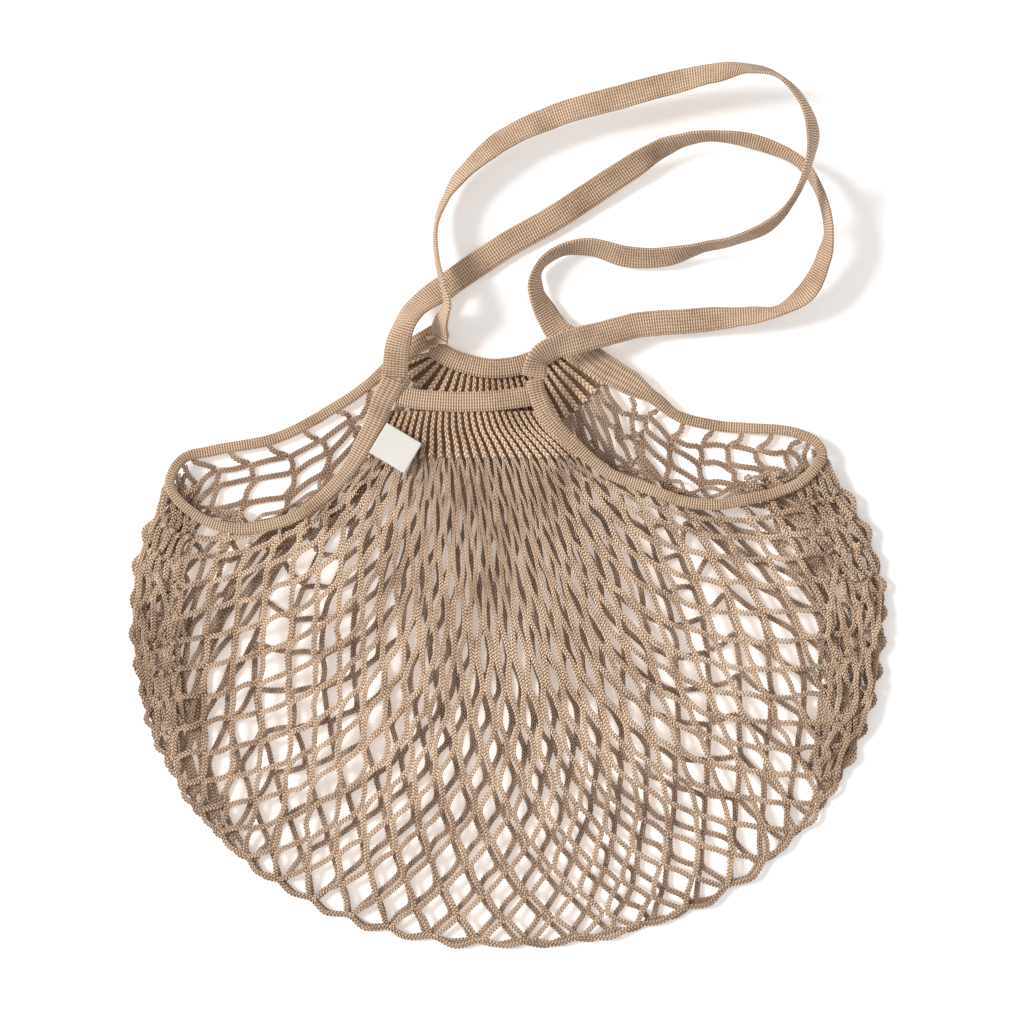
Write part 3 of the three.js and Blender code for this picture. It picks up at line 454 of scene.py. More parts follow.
class Net:
    """One half of the netting, as joints (p, q): p counts steps down to the right, q down to the left."""

    def __init__(self, rib_line, left_tape, right_tape, rows, edge_rise, thin):
        top = RIBS - 1
        left_cells, right_cells = len(left_tape) - 1, len(right_tape) - 1
        self.rows, self.top, self.thin = rows, top, thin
        self.P, self.Q = top + right_cells, top + left_cells
        self.p, self.q = np.meshgrid(np.arange(self.P + 1), np.arange(self.Q + 1), indexing="ij")
        self.row = self.p + self.q - top
        self.inside = (self.row >= 0) & (self.row <= rows)
        self.use_p = self.inside[:-1] & self.inside[1:]
        self.use_q = self.inside[:, :-1] & self.inside[:, 1:]
        self.pos = np.zeros((self.P + 1, self.Q + 1, 3))
        self.pinned = np.zeros_like(self.inside)
        for i, point in enumerate(rib_line):
            self.pin(i, top - i, point)
        for t, point in enumerate(left_tape[1:], 1):
            self.pin(0, top + t, point)
        for t, point in enumerate(right_tape[1:], 1):
            self.pin(top + t, 0, point)
        self.pin_fold(rows - left_cells, rows - right_cells, edge_rise)

    def pin_fold(self, left, right, edge_rise):
        """Holds the joints along the fold: left and right are the numbers of closer ones at its two ends."""
        angles = np.linspace(LEFT_CORNER_ANGLE, 360 + RIGHT_CORNER_ANGLE, 900)
        edge = arc_resample(outline(angles), count=2000)
        edge = edge + unit(FOLD_CENTRE - edge) * FOLD_INSET
        lengths = lengths_along(edge)
        total = lengths[-1]
        bottom = self.P - left
        c = np.arange(bottom) - (bottom - 1) / 2
        weights = 1 + (WIDE_MESH - 1) * np.exp(-((c / WIDE_CELLS) ** 2))
        weights *= 1 + rng.uniform(-0.1, 0.1, bottom)
        reach = total - (left + right) * FOLD_MESH
        at = left * FOLD_MESH + np.r_[0, np.cumsum(weights / weights.sum())] * reach
        places = [(i * FOLD_MESH, i, self.Q) for i in range(1, left + 1)]
        places += [(at[k], left + k, self.Q - k) for k in range(1, bottom)]
        places += [(at[-1] + k * FOLD_MESH, self.P, right - k) for k in range(right)]
        self.fold_places = sorted(places)
        for s, i, j in places:
            corner = max(math.exp(-s / CORNER_REACH), math.exp(-(total - s) / CORNER_REACH))
            x, y = along_line(edge, lengths, s)[:2]
            self.pin(i, j, (x, y, edge_rise(corner)))

    def pin(self, i, j, point):
        self.pos[i, j] = point
        self.pinned[i, j] = True

    def at_joints(self, along_p, along_q):
        """Sum at each joint of a value of the cords that meet there."""
        total = np.zeros(self.inside.shape + along_p.shape[2:])
        total[:-1] += along_p
        total[1:] += along_p
        total[:, :-1] += along_q
        total[:, 1:] += along_q
        return total

    def relax(self):
        """Lets the free joints settle, until the cords between them have nearly their made length."""
        P, Q, pos = self.P, self.Q, self.pos
        rest_p = np.full((P, Q + 1), MESH)
        rest_q = np.full((P + 1, Q), MESH)
        rest_p[P - BUNCHED:, :] = BUNCHED_MESH
        rest_q[:, Q - BUNCHED:] = BUNCHED_MESH
        free = self.inside & ~self.pinned
        pos[free] = pos[self.pinned].mean(0)
        stiff_p, stiff_q = self.use_p / rest_p, self.use_q / rest_q
        even = self.row % 2 == 0
        for turn in range(26):
            total = np.maximum(self.at_joints(stiff_p, stiff_q), 1e-9)[..., None]
            for _ in range(140 if turn else 400):
                for now in (even & free, ~even & free):
                    pull = np.zeros_like(pos)
                    pull[:-1] += stiff_p[..., None] * pos[1:]
                    pull[1:] += stiff_p[..., None] * pos[:-1]
                    pull[:, :-1] += stiff_q[..., None] * pos[:, 1:]
                    pull[:, 1:] += stiff_q[..., None] * pos[:, :-1]
                    pos[now] += 1.7 * (pull / total - pos)[now]
            length_p = np.linalg.norm((pos[1:] - pos[:-1])[..., :2], axis=-1)
            length_q = np.linalg.norm((pos[:, 1:] - pos[:, :-1])[..., :2], axis=-1)
            stiff_p = self.use_p * np.clip(stiff_p * (np.maximum(length_p, 0.5) / rest_p) ** 0.4, 0.004, 4)
            stiff_q = self.use_q * np.clip(stiff_q * (np.maximum(length_q, 0.5) / rest_q) ** 0.4, 0.004, 4)
        return self

    def crumple(self, plain, bunched):
        """Small uneven shifts of the free nodes, larger where the netting is bunched."""
        free = self.inside & ~self.pinned
        bunch = smooth((np.maximum(self.p - self.P, self.q - self.Q) + BUNCHED + 1) / 2)
        size = plain + (bunched - plain) * bunch
        shift = rng.normal(0, 1, self.pos.shape) * size[..., None]
        shift[..., 2] = np.abs(shift[..., 2])
        self.pos[free] += shift[free]
        return self

    def joint_frames(self):
        """Direction of the cords at each joint and square to it; sets each joint's reach and thickness."""
        pos, inside = self.pos, self.inside
        step_p = unit(pos[1:] - pos[:-1]) * self.use_p[..., None]
        step_q = unit(pos[:, 1:] - pos[:, :-1]) * self.use_q[..., None]
        t = self.at_joints(step_p, step_q)
        met = self.at_joints(self.use_p, self.use_q)
        t[..., 2] = 0
        # Joints are long where the four cords run nearly one way, and points where they cross squarely
        along = (np.linalg.norm(t, axis=-1) / np.maximum(met, 1) - 0.72) / 0.25
        self.reach = 0.5 + (JOINT / 2 - 0.5) * np.clip(along, 0, 1)
        t = unit(t + 1e-9)
        n = np.stack([-t[..., 1], t[..., 0], np.zeros_like(t[..., 0])], -1)
        gap = pos[1:, :-1] - pos[:-1, 1:]
        apart = np.minimum(np.abs((gap * n[1:, :-1]).sum(-1)), np.abs((gap * n[:-1, 1:]).sum(-1)))
        both = inside[1:, :-1] & inside[:-1, 1:]
        pitch = np.zeros(inside.shape)
        seen = np.zeros(inside.shape)
        for joints in (np.s_[1:, :-1], np.s_[:-1, 1:]):
            pitch[joints] += apart * both
            seen[joints] += both
        pitch = np.where(seen > 0, pitch / np.maximum(seen, 1), FULL_PITCH)
        self.thickness = np.clip(pitch / FULL_PITCH, self.thin, 1)
        return t, n

    def wales(self, ripple, bunch_rise):
        """Paths of the cords, each zigzagging down between two columns of joints."""
        t, n = self.joint_frames()
        paths = []
        for c in range(-self.Q, self.P):
            nodes = []
            for r in range(self.rows + 1):
                s = r + self.top
                column = c if (s + c) % 2 == 0 else c + 1
                i, j = (s + column) // 2, (s - column) // 2
                if 0 <= i <= self.P and 0 <= j <= self.Q:
                    nodes.append((i, j, 1 if column == c else -1))
            along_tape = len(nodes) > 1 and any(nodes[0][k] == nodes[1][k] == 0 for k in (0, 1))
            if along_tape:
                nodes = nodes[1:]
            if len(nodes) < 2:
                continue
            points = []
            for k, (i, j, side) in enumerate(nodes):
                here = self.pos[i, j]
                thickness = self.thickness[i, j]
                reach = self.reach[i, j]
                for other in nodes[max(k - 1, 0):k] + nodes[k + 1:k + 2]:
                    reach = min(reach, 0.28 * np.linalg.norm(self.pos[other[:2]] - here))
                across = n[i, j] * side * thickness * CORD_GAP / 2
                level = np.array([0, 0, 0.45 * side])
                if k:
                    before = nodes[k - 1]
                    a = self.pos[before[:2]]
                    span = np.linalg.norm(here - a)
                    slack = math.sqrt(max(MESH**2 - span**2, 0))
                    bow = rng.normal(0, ripple) + 0.10 * slack * rng.uniform(-1, 1)
                    rise = rng.normal(0, ripple * 0.4) + bunch_rise * slack * rng.uniform(-0.2, 1)
                    direction = unit(here - a)
                    middle = (here + a) / 2 + np.array([-direction[1], direction[0], 0]) * bow + [0, 0, rise]
                    points.append([*middle, (thickness + self.thickness[before[:2]]) / 2])
                    points.append([*(here + across + level - t[i, j] * reach), thickness])
                else:
                    lead = 2.5 if self.row[i, j] == 0 else 0.6
                    points.append([*(here + across * 0.5 - t[i, j] * lead), thickness])
                if k + 1 < len(nodes):
                    points.append([*(here + across + level + t[i, j] * reach), thickness])
                else:
                    points.append([*(here + across * 0.4), thickness])
            paths.append(curve_points(points, np.linspace(0, 1, len(points) * 8)))
        return paths

    def rim(self, bulge):
        """The scalloped cord along the fold, through the outermost joints."""
        points = []
        nodes = [self.pos[i, j] for s, i, j in self.fold_places]
        for a, b in zip(nodes[:-1], nodes[1:]):
            outward = unit((a + b) / 2 - FOLD_CENTRE)
            outward[2] = 0
            points.append(a)
            points.append((a * 0.5 + b * 0.5) + outward * bulge * rng.uniform(0.7, 1.3))
        points.append(nodes[-1])
        points = np.hstack([points, np.ones((len(points), 1))])
        return curve_points(points, np.linspace(0, 1, len(points) * 8))


def tape_line(route, side, start, end, cells, bunched_cells, drop, gap=-0.6):
    """Joints along a tape, wide apart first and close together where the netting is bunched."""
    line = route.beside(np.linspace(start, end, 200), side, gap=gap)
    line[:, 2] -= drop
    lengths = lengths_along(line)
    steps = np.array([MESH] * (cells - bunched_cells) + [BUNCHED_MESH] * bunched_cells)
    at = np.r_[0, np.cumsum(steps / steps.sum())] * lengths[-1]
    return along_line(line, lengths, at)


# Front netting: from the ends of the front ribs and the two front tapes to the fold
front_rib_top = BAND_LEVEL - BAND_DEPTH / 2 - FRONT_BAND_SAG / 2 - 0.3
front_rib_end = front_rib_top - RIB_LENGTH
left_start = share_at_level(left_mouth, 1, front_rib_end)
right_start = share_at_level(right_mouth, -1, front_rib_end)
rib_left = left_mouth.beside(left_start, 1)[0]
rib_right = right_mouth.beside(right_start, -1)[0]
rib_shares = (np.arange(RIBS) + 0.5) / RIBS
front_ribs_end = np.stack([
    rib_left[0] + (rib_right[0] - rib_left[0]) * rib_shares,
    np.full(RIBS, front_rib_end + 1.0),
    np.full(RIBS, FRONT_LIFT - 0.3),
], -1)
front_net = Net(
    front_ribs_end,
    tape_line(left_mouth, 1, left_start, left_mouth.corner, FRONT_LEFT_CELLS, BUNCHED, 1.6),
    tape_line(right_mouth, -1, right_start, right_mouth.corner, FRONT_RIGHT_CELLS, BUNCHED, 1.6),
    FRONT_ROWS,
    lambda corner: 4.2 + 5 * corner,
    THIN_CORD,
).relax().crumple(plain=0.25, bunched=1.0)

# Back netting, flat on the surface below the front
left_rib_share = 1 - 2.2 / left_mouth.spans
right_rib_share = 1 - 3.2 / right_mouth.spans
back_left = left_mouth.beside(left_rib_share, -1, gap=-5)[0]
back_right = right_mouth.beside(right_rib_share, 1, gap=-4.5)[0]
back_ribs_end = back_left + (back_right - back_left) * rib_shares[:, None]
back_ribs_end[:, 1] -= 4 * rib_shares * (1 - rib_shares) * (RIB_LENGTH + BACK_RIB_BULGE) - 1.0
back_ribs_end[:, 2] = BACK_LIFT - 0.6
back_net = Net(
    back_ribs_end,
    tape_line(left_mouth, -1, left_rib_share, left_mouth.corner, BACK_LEFT_CELLS, BACK_BUNCHED, 0.8),
    tape_line(right_mouth, 1, right_rib_share, right_mouth.corner, BACK_RIGHT_CELLS, BACK_BUNCHED, 0.8),
    BACK_ROWS,
    lambda corner: 2.2 + 2 * corner,
    THIN_BACK_CORD,
)
# The joints that show in the mouth keep to lines beside the back tapes
for line, gap in enumerate(MOUTH_LINE_GAPS, 1):
    for route, side, share, cells in (
            (left_mouth, -1, left_rib_share, BACK_LEFT_CELLS),
            (right_mouth, 1, right_rib_share, BACK_RIGHT_CELLS)):
        for t in range(2, cells - 2):
            fanned = gap * min(1, 0.3 + 0.2 * t)
            joints = tape_line(route, side, share, route.corner, cells, BACK_BUNCHED, 2.5, fanned)
            point = joints[t] + rng.normal(0, 0.9, 3)
            if side < 0:
                back_net.pin(line, RIBS - 1 + t, point)
            else:
                back_net.pin(RIBS - 1 + t, line, point)
back_net.relax().crumple(plain=0.4, bunched=1.0)


def spread(net, low, rise):
    """Keeps a net's free joints above a level and lets it swell between its edges."""
    free = net.inside & ~net.pinned
    net.pos[..., 2] = np.where(free, np.maximum(net.pos[..., 2] + rise, low), net.pos[..., 2])


spread(front_net, low=6.0, rise=0.6)
spread(back_net, low=1.9, rise=-0.6)


def keep_inside(points):
    """Moves points back inside the bag's outline."""
    above = points[:, 1] > 0
    power = np.where(above, CROWN_POWER, DROP_POWER)
    height = np.where(above, BAG_CROWN, BAG_DROP)
    room = np.clip(0.965 - np.abs(points[:, 1] / height) ** power, 0, 1) ** (1 / power) * BAG_WIDTH / 2
    points[:, 0] = np.clip(points[:, 0], -room, room)


def crowd(guide, widths, columns, step, low, high, thickness):
    """Bunched netting along a guide: narrow crumpled cells, higher in the middle."""
    line = arc_resample(curve_points(guide, np.linspace(0, 1, 200)), step=step)
    rows = len(line)
    wide = np.interp(np.linspace(0, 1, rows), np.linspace(0, 1, len(widths)), widths)
    along = unit(np.gradient(line, axis=0) * [1, 1, 0])
    across = np.stack([-along[:, 1], along[:, 0], np.zeros(rows)], -1)
    crest = np.sin(np.linspace(0.35, math.pi - 0.35, rows))
    c = np.arange(columns + 1)
    u = (c / columns - 0.5)[None, :] + rng.normal(0, BUNCH_WANDER / columns, (rows, columns + 1))
    u = np.clip(u, -0.5, 0.5)
    joints = line[:, None, :] + across[:, None, :] * (u * wide[:, None])[..., None]
    joints += along[:, None, :] * rng.normal(0, step * 0.2, (rows, columns + 1))[..., None]
    bell = np.sqrt(np.clip(1 - (2 * u) ** 2, 0.02, 1))
    joints[..., 2] = low + (high - low) * crest[:, None] * bell * rng.uniform(0.1, 1, bell.shape)
    paths = []
    for column in range(columns):
        points = []
        for r in range(rows):
            here = joints[r, column + (r + column) % 2]
            if points:
                bend = across[r] * rng.normal(0, 1.3) + along[r] * rng.normal(0, 1.0)
                middle = (here + before) / 2 + bend + [0, 0, rng.uniform(-2.2, 1.6)]
                points.append([*middle, thickness])
            points.append([*here, thickness])
            before = here
        points = np.array(points)
        points[:, 2] = np.maximum(points[:, 2], 2.2)
        keep_inside(points)
        paths.append(curve_points(points, np.linspace(0, 1, len(points) * 8)))
    return paths


def beside_tape(route, side, start, end, gap, level):
    line = route.beside(np.linspace(start, end, 8), side, gap)
    line[:, 2] = level
    return line


front_paths = front_net.wales(ripple=0.3, bunch_rise=0.22) + [front_net.rim(bulge=3.8)]
back_paths = back_net.wales(ripple=0.4, bunch_rise=0.1) + [back_net.rim(bulge=2.8)]

# Bunches: below the corners of the mouth, under the left front tape and along the inside of both front tapes
under_left_tape = beside_tape(
    left_mouth, 1, share_at_level(left_mouth, 1, 86), share_at_level(left_mouth, 1, 40), 6.5, 6)
inside_left_tape = beside_tape(left_mouth, -1, left_mouth.corner * 0.45, left_mouth.corner * 0.97, 0.8, 4)
inside_right_tape = beside_tape(right_mouth, 1, right_mouth.corner * 0.3, right_mouth.corner * 0.95, 1.5, 4)
front_paths += crowd(LEFT_BUNCH, LEFT_BUNCH_WIDTHS, columns=12, step=12, low=3.5, high=15, thickness=0.9)
front_paths += crowd(RIGHT_BUNCH, RIGHT_BUNCH_WIDTHS, columns=15, step=12, low=3.5, high=15, thickness=0.9)
front_paths += crowd(under_left_tape, [8, 16, 14, 6], columns=5, step=11, low=3.5, high=7.5, thickness=0.8)
back_paths += crowd(inside_left_tape, [3, 7, 7, 4], columns=3, step=10, low=2.6, high=6.5, thickness=0.7)
back_paths += crowd(inside_right_tape, [3, 9, 8, 4], columns=3, step=10, low=2.6, high=6.5, thickness=0.7)
for path in back_paths:
    path[:, 2] = np.maximum(path[:, 2], 1.75)
for path in front_paths:
    path[:, 2] = np.maximum(path[:, 2], 2.6)


def set_inputs(node, values):
    for name, value in values.items():
        node.inputs[name].default_value = value


def new_material(name, inputs):
    """A material, its node tree and its shader, with some inputs of the shader set."""
    material = bpy.data.materials.new(name)
    material.use_nodes = True
    shader = material.node_tree.nodes["Principled BSDF"]
    set_inputs(shader, inputs)
    return material, material.node_tree, shader


def math_node(tree, operation, first, second=None):
    node = tree.nodes.new("ShaderNodeMath")
    node.operation = operation
    tree.links.new(first, node.inputs[0])
    if second is not None:
        node.inputs[1].default_value = second
    return node.outputs[0]


def times_plus(tree, first, factor, second):
    """The output first times a number, plus the output second."""
    node = tree.nodes.new("ShaderNodeMath")
    node.operation = "MULTIPLY_ADD"
    node.inputs[1].default_value = factor
    tree.links.new(first, node.inputs[0])
    tree.links.new(second, node.inputs[2])
    return node.outputs[0]


def noise(tree, scale, detail):
    node = tree.nodes.new("ShaderNodeTexNoise")
    set_inputs(node, {"Scale": scale, "Detail": detail})
    return node


def ramp(tree, share, low, low_colour, high, high_colour):
    """A colour that goes from one to another while share goes from low to high."""
    node = tree.nodes.new("ShaderNodeValToRGB")
    first, second = node.color_ramp.elements
    first.position = low
    first.color = (*low_colour, 1)
    second.position = high
    second.color = (*high_colour, 1)
    tree.links.new(share, node.inputs["Fac"])
    return node.outputs["Color"]


def bump(tree, height, strength, distance):
    """A bump node with a height in shares of a distance in metres."""
    node = tree.nodes.new("ShaderNodeBump")
    set_inputs(node, {"Strength": strength, "Distance": distance})
    tree.links.new(height, node.inputs["Height"])
    return node


def uv_parts(tree):
    """The outputs U and V of the piece's UV map."""
    uv = tree.nodes.new("ShaderNodeUVMap")
    split = tree.nodes.new("ShaderNodeSeparateXYZ")
    tree.links.new(uv.outputs["UV"], split.inputs[0])
    return split.outputs["X"], split.outputs["Y"]


def shade(tree, colour, share, low, shadow):
    """Colour times a shade that goes from shadow at share low to full at share 1."""
    product = tree.nodes.new("ShaderNodeVectorMath")
    product.operation = "MULTIPLY"
    tree.links.new(colour, product.inputs[0])
    tree.links.new(ramp(tree, share, low, shadow, 1, (1, 1, 1)), product.inputs[1])
    return product.outputs["Vector"]


def yarn_material(name, light, dark, plaited=False, deep=False):
    """Cotton with fibres and flecks, with painted shade where a strand dips under the others (plaited) and
    where it gets little light (deep).
    """
    material, tree, shader = new_material(name, {
        "Roughness": 0.92, "Specular IOR Level": 0.18, "Sheen Weight": 0.25, "Sheen Roughness": 0.5})
    coordinates = tree.nodes.new("ShaderNodeTexCoord")
    fleck = noise(tree, 900, 3)
    slow = noise(tree, 45, 2)
    for texture in (fleck, slow):
        tree.links.new(coordinates.outputs["Object"], texture.inputs["Vector"])
    blend = times_plus(tree, fleck.outputs["Fac"], 0.75, slow.outputs["Fac"])
    colour = ramp(tree, blend, 0.55, dark, 0.958, light)
    if plaited:
        turns, light_share = uv_parts(tree)
        # Painted shade: the strand is darker where its turn takes it under the others
        wave = math_node(tree, "SINE", math_node(tree, "MULTIPLY", turns, 4 * math.pi))
        share = math_node(tree, "MULTIPLY", math_node(tree, "ADD", wave, 1.0), 0.5)
        colour = shade(tree, colour, share, 0.1, PLAIT_SHADE)
        if deep:
            colour = shade(tree, colour, light_share, 0, DEEP_SHADE)
    tree.links.new(colour, shader.inputs["Base Color"])
    fibres = bump(tree, fleck.outputs["Fac"], 0.5, 0.0002)
    tree.links.new(fibres.outputs["Normal"], shader.inputs["Normal"])
    return material


cord_material = yarn_material("cotton_cord", *CORD_COLOURS, plaited=True, deep=True)
rib_material = yarn_material("cotton_rib", *RIB_COLOURS, plaited=True)
# The backing's material carries painted shade in its colour
shaded_backing_material = yarn_material("cotton_backing_painted_shade", *SHADED_BACKING_COLOURS)


def cords_piece(name, paths, low, high, nodes):
    """The cords whose middle lies between two places across the bag, as one piece."""
    chosen = [path for path in paths if low <= path[:, 0].mean() < high]
    vertices, faces, uvs = strands_mesh(chosen)
    piece = add_mesh(name, vertices, faces, cord_material, nodes, uvs)


# The cords are in three parts, so that no piece has too many triangles
CORD_PARTS = (
    ("left", -math.inf, -62, ("left_gather",)),
    ("middle", -62, 62, ()),
    ("right", 62, math.inf, ("right_gather",)),
)
for part, low, high, gathers in CORD_PARTS:
    cords_piece("front_cords_" + part, front_paths, low, high, ("net_front",) + gathers)
    cords_piece("back_cords_" + part, back_paths, low, high, ("net_back",))


# Ribbings: each rib is a chain of stitches that stands up from a backing
def front_ribbing(across, along):
    """Points of the front ribbing, which lies between the two mouth tapes."""
    level = front_rib_top + (front_rib_end - front_rib_top) * along
    left_line = left_mouth.beside(np.linspace(0, left_start, 60), 1, gap=-1.5)
    right_line = right_mouth.beside(np.linspace(0, right_start, 60), -1, gap=-0.8)
    left_x = np.interp(-level, -left_line[:, 1], left_line[:, 0])
    right_x = np.interp(-level, -right_line[:, 1], right_line[:, 0])
    return np.stack([left_x + (right_x - left_x) * across, level, np.full_like(level, FRONT_LIFT)], -1)


def last_beside(route, side, level):
    """The last point beside a route that is at or below a level."""
    shares = np.linspace(0, 1, 401)[1:]
    below = np.nonzero(route.beside(shares, side)[:, 1] <= level)[0]
    return route.beside(shares[below[-1]], side)[0]


def band_route(middle, sag, left, right, lift):
    """A band's route between two places across the bag, lowest in the middle."""
    shares = np.linspace(0, 1, BAND_POINTS)
    x = left + (right - left) * shares
    y = middle[1] - sag * (4 * shares * (1 - shares) - 0.5)
    points = np.stack([x, y, np.full_like(x, lift)], -1)
    return Route(points, [0] * BAND_POINTS, [BAND_DEPTH] * BAND_POINTS)


front_band_top = BAND_LEVEL + BAND_DEPTH / 2 + FRONT_BAND_SAG / 2
front_band = band_route(
    front_middle,
    FRONT_BAND_SAG,
    left_mouth.beside(share_at_level(left_mouth, 1, front_band_top), 1)[0][0] - 5,
    right_mouth.beside(share_at_level(right_mouth, -1, front_band_top), -1)[0][0] + 4,
    FRONT_LIFT + 1,
)
back_band_top = back_middle[1] + (BAND_DEPTH + BACK_BAND_SAG) / 2
back_band = band_route(
    back_middle,
    BACK_BAND_SAG,
    max(last_beside(left_mouth, -1, back_band_top)[0], back_handle.beside(0, -1)[0][0]) - 6,
    min(last_beside(right_mouth, 1, back_band_top)[0], back_handle.beside(1, -1)[0][0]) + 6,
    BACK_LIFT + 2,
)


def back_ribbing(across, along):
    """Points of the back ribbing, from the back band to its bulging end."""
    top = back_band.beside(across, -1, gap=-2.0)
    end = back_left + (back_right - back_left) * across[:, None]
    end[:, 1] -= 4 * across * (1 - across) * (RIB_LENGTH + BACK_RIB_BULGE)
    point = top * (1 - along[:, None]) + end * along[:, None]
    point[:, 2] = BACK_LIFT
    return point


def slab_faces(levels, columns):
    """Faces of a slab between an upper and a lower grid of points, rows from left to right, top row first."""
    grid = np.arange(levels * columns).reshape(levels, columns)
    quads = np.stack([grid[:-1, :-1], grid[1:, :-1], grid[1:, 1:], grid[:-1, 1:]], -1).reshape(-1, 4)
    faces = [quads, quads[:, ::-1] + grid.size]
    for line in (grid[0], grid[:, -1], grid[-1][::-1], grid[:, 0][::-1]):
        faces.append(np.stack([line[:-1], line[1:], line[1:] + grid.size, line[:-1] + grid.size], -1))
    return np.vstack(faces)


def ribs_piece(name, surface, node, rows):
    """Ribs as chains of stitches, wider where the ribs are farther apart."""
    paths = []
    for k in range(RIBS):
        across = np.full(rows, (k + 0.5) / RIBS)
        along = np.linspace(-0.04, 1.0, rows)
        path = surface(across, along)
        beside = surface(across + 1 / RIBS, along)
        pitch = np.linalg.norm((beside - path)[:, :2], axis=1)
        path[:, 2] += RIB_HEIGHT
        path = np.hstack([path, np.clip(pitch / RIB_PITCH, 0.5, 1.8)[:, None]])
        paths.append(arc_resample(path, step=0.5))
    vertices, faces, uvs = strands_mesh(
        paths, ring=0.7, sway=0.85, lift=0.7, radius=0.52, sides=4, stitch=RIB_STITCH)
    piece = add_mesh(name, vertices, faces, rib_material, (node,), uvs)


def backing_piece(name, surface):
    """The cloth behind the ribs, with a low ladder of stitches; its dark colour is painted shade, for its
    place deep below the ribs.
    """
    columns, levels = 97, 40
    across, along = np.meshgrid(np.linspace(0, 1, columns), np.linspace(-0.05, 0.99, levels))
    upper = surface(across.ravel(), along.ravel())
    lower = upper + [0, 0, BACKING_BOTTOM]
    upper[:, 2] += BACKING_TOP + 0.35 * np.cos(along.ravel() * levels / 2 * math.pi)
    faces = slab_faces(levels, columns)
    backing = add_mesh(name, np.vstack([upper, lower]), faces, shaded_backing_material, None)


ribs_piece("front_ribs", front_ribbing, "front_ribbing", 30)
backing_piece("front_ribs_backing", front_ribbing)
ribs_piece("back_ribs", back_ribbing, "back_ribbing", 40)
backing_piece("back_ribs_backing", back_ribbing)


def tape_material():
    """Close-knitted tape: yarn with rows of small stitches along it and across it."""
    material = yarn_material("cotton_tape", *TAPE_COLOURS)
    tree = material.node_tree
    shader = tree.nodes["Principled BSDF"]
    colour = shader.inputs["Base Color"].links[0].from_socket
    fibres = shader.inputs["Normal"].links[0].from_socket
    along, across = [
        math_node(tree, "COSINE", math_node(tree, "MULTIPLY", turns, 2 * math.pi))
        for turns in uv_parts(tree)]
    stitches = times_plus(tree, across, 0.45, along)
    share = math_node(tree, "MULTIPLY", math_node(tree, "ADD", stitches, 1.45), 0.42)
    tree.links.new(shade(tree, colour, share, 0.12, STITCH_SHADE), shader.inputs["Base Color"])
    rows = bump(tree, stitches, 0.7, 0.0004)
    tree.links.new(fibres, rows.inputs["Normal"])
    tree.links.new(rows.outputs["Normal"], shader.inputs["Normal"])
    return material


tape_look = tape_material()


def tape_piece(name, route, thickness, node, ridge, columns, bow):
    """A knitted tape: a rounded flat section, ridged at each row of stitches and bowed up in the middle."""
    fine_shares = np.linspace(0, 1, 4000)
    lengths = lengths_along(route.at(fine_shares))
    s = np.arange(0, lengths[-1], TAPE_STITCH / 2)
    count = len(s)
    shares = np.interp(s / s[-1] * lengths[-1], lengths, fine_shares)
    centre = route.at(shares)
    direction = route.tangent(shares)
    side = unit(np.cross([0, 0, 1.0], direction))
    roll = -np.radians(route.roll(shares))
    side = side * np.cos(roll)[:, None] + np.cross(direction, side) * np.sin(roll)[:, None]
    face = unit(np.cross(direction, side))
    width = route.width(shares)
    # The section's points: shares of width and thickness, and place across
    flat = 7
    across = np.linspace(-1, 1, flat)
    section = [(a * 0.47, -0.5 + 0.12 * a**4, a) for a in across]
    section.append((0.5, 0.0, 1.0))
    section += [(a * 0.47, 0.5 - 0.12 * a**4, a) for a in across[::-1]]
    section.append((-0.5, 0.0, -1.0))
    sides = len(section)
    wave = np.cos(2 * math.pi * s / TAPE_STITCH) * ridge
    wobble = np.interp(s, np.arange(0, s[-1] + 12, 6), rng.normal(0, 0.18, int(s[-1] / 6) + 3))
    points = np.zeros((count, sides, 3))
    for k, (wide, thick, a) in enumerate(section):
        lift = thick * thickness + np.sign(thick) * wave + bow * (1 - a * a)
        reach = wide * width + np.sign(wide) * (wave * 0.6 if abs(wide) > 0.46 else 0) + wobble * 0.5
        points[:, k] = centre + side * reach[:, None] + face * lift[:, None]
    for end in (0, -1):
        points[end] = points[end].mean(0) + (points[end] - points[end].mean(0)) * 0.02
    a = np.arange(count - 1)[:, None] * (sides + 1) + np.arange(sides)[None, :]
    b = a + 1
    closed = np.concatenate([points, points[:, :1]], 1)
    faces = np.stack([a, b, b + sides + 1, a + sides + 1], -1).reshape(-1, 4)
    v = np.r_[np.linspace(0, 1, flat), 1.08, np.linspace(1, 0, flat), -0.08, 0.0]
    uv = np.stack(np.broadcast_arrays((s / TAPE_STITCH)[:, None], v[None, :] * columns), -1).reshape(-1, 2)
    piece = add_mesh(name, closed.reshape(-1, 3), faces, tape_look, (node,), uv)


TAPES = (
    ("left_mouth_tape", left_mouth, BINDING_THICKNESS + 0.6, "left_mouth_binding", 0.26, 4, 0),
    ("right_mouth_tape", right_mouth, BINDING_THICKNESS + 0.6, "right_mouth_binding", 0.26, 4, 0),
    ("front_handle_tape", front_handle, HANDLE_THICKNESS - 0.2, "front_handle", 0.18, 7, 0),
    ("back_handle_tape", back_handle, HANDLE_THICKNESS - 0.2, "back_handle", 0.18, 7, 0),
    ("front_band_tape", front_band, BAND_THICKNESS - 1.5, "front_band", 0.3, 6, 0.3),
    ("back_band_tape", back_band, BAND_THICKNESS - 1.5, "back_band", 0.3, 6, 0.3),
)
for name, route, thickness, node, ridge, columns, bow in TAPES:
    tape_piece(name, route, thickness, node, ridge, columns, bow)


def cloth_material():
    """The label's plain woven cloth."""
    material, tree, shader = new_material("label_cloth", {"Base Color": LABEL_COLOUR, "Roughness": 0.8})
    weave = noise(tree, 1200, 2)
    threads = bump(tree, weave.outputs["Fac"], 0.4, 0.0001)
    tree.links.new(threads.outputs["Normal"], shader.inputs["Normal"])
    return material


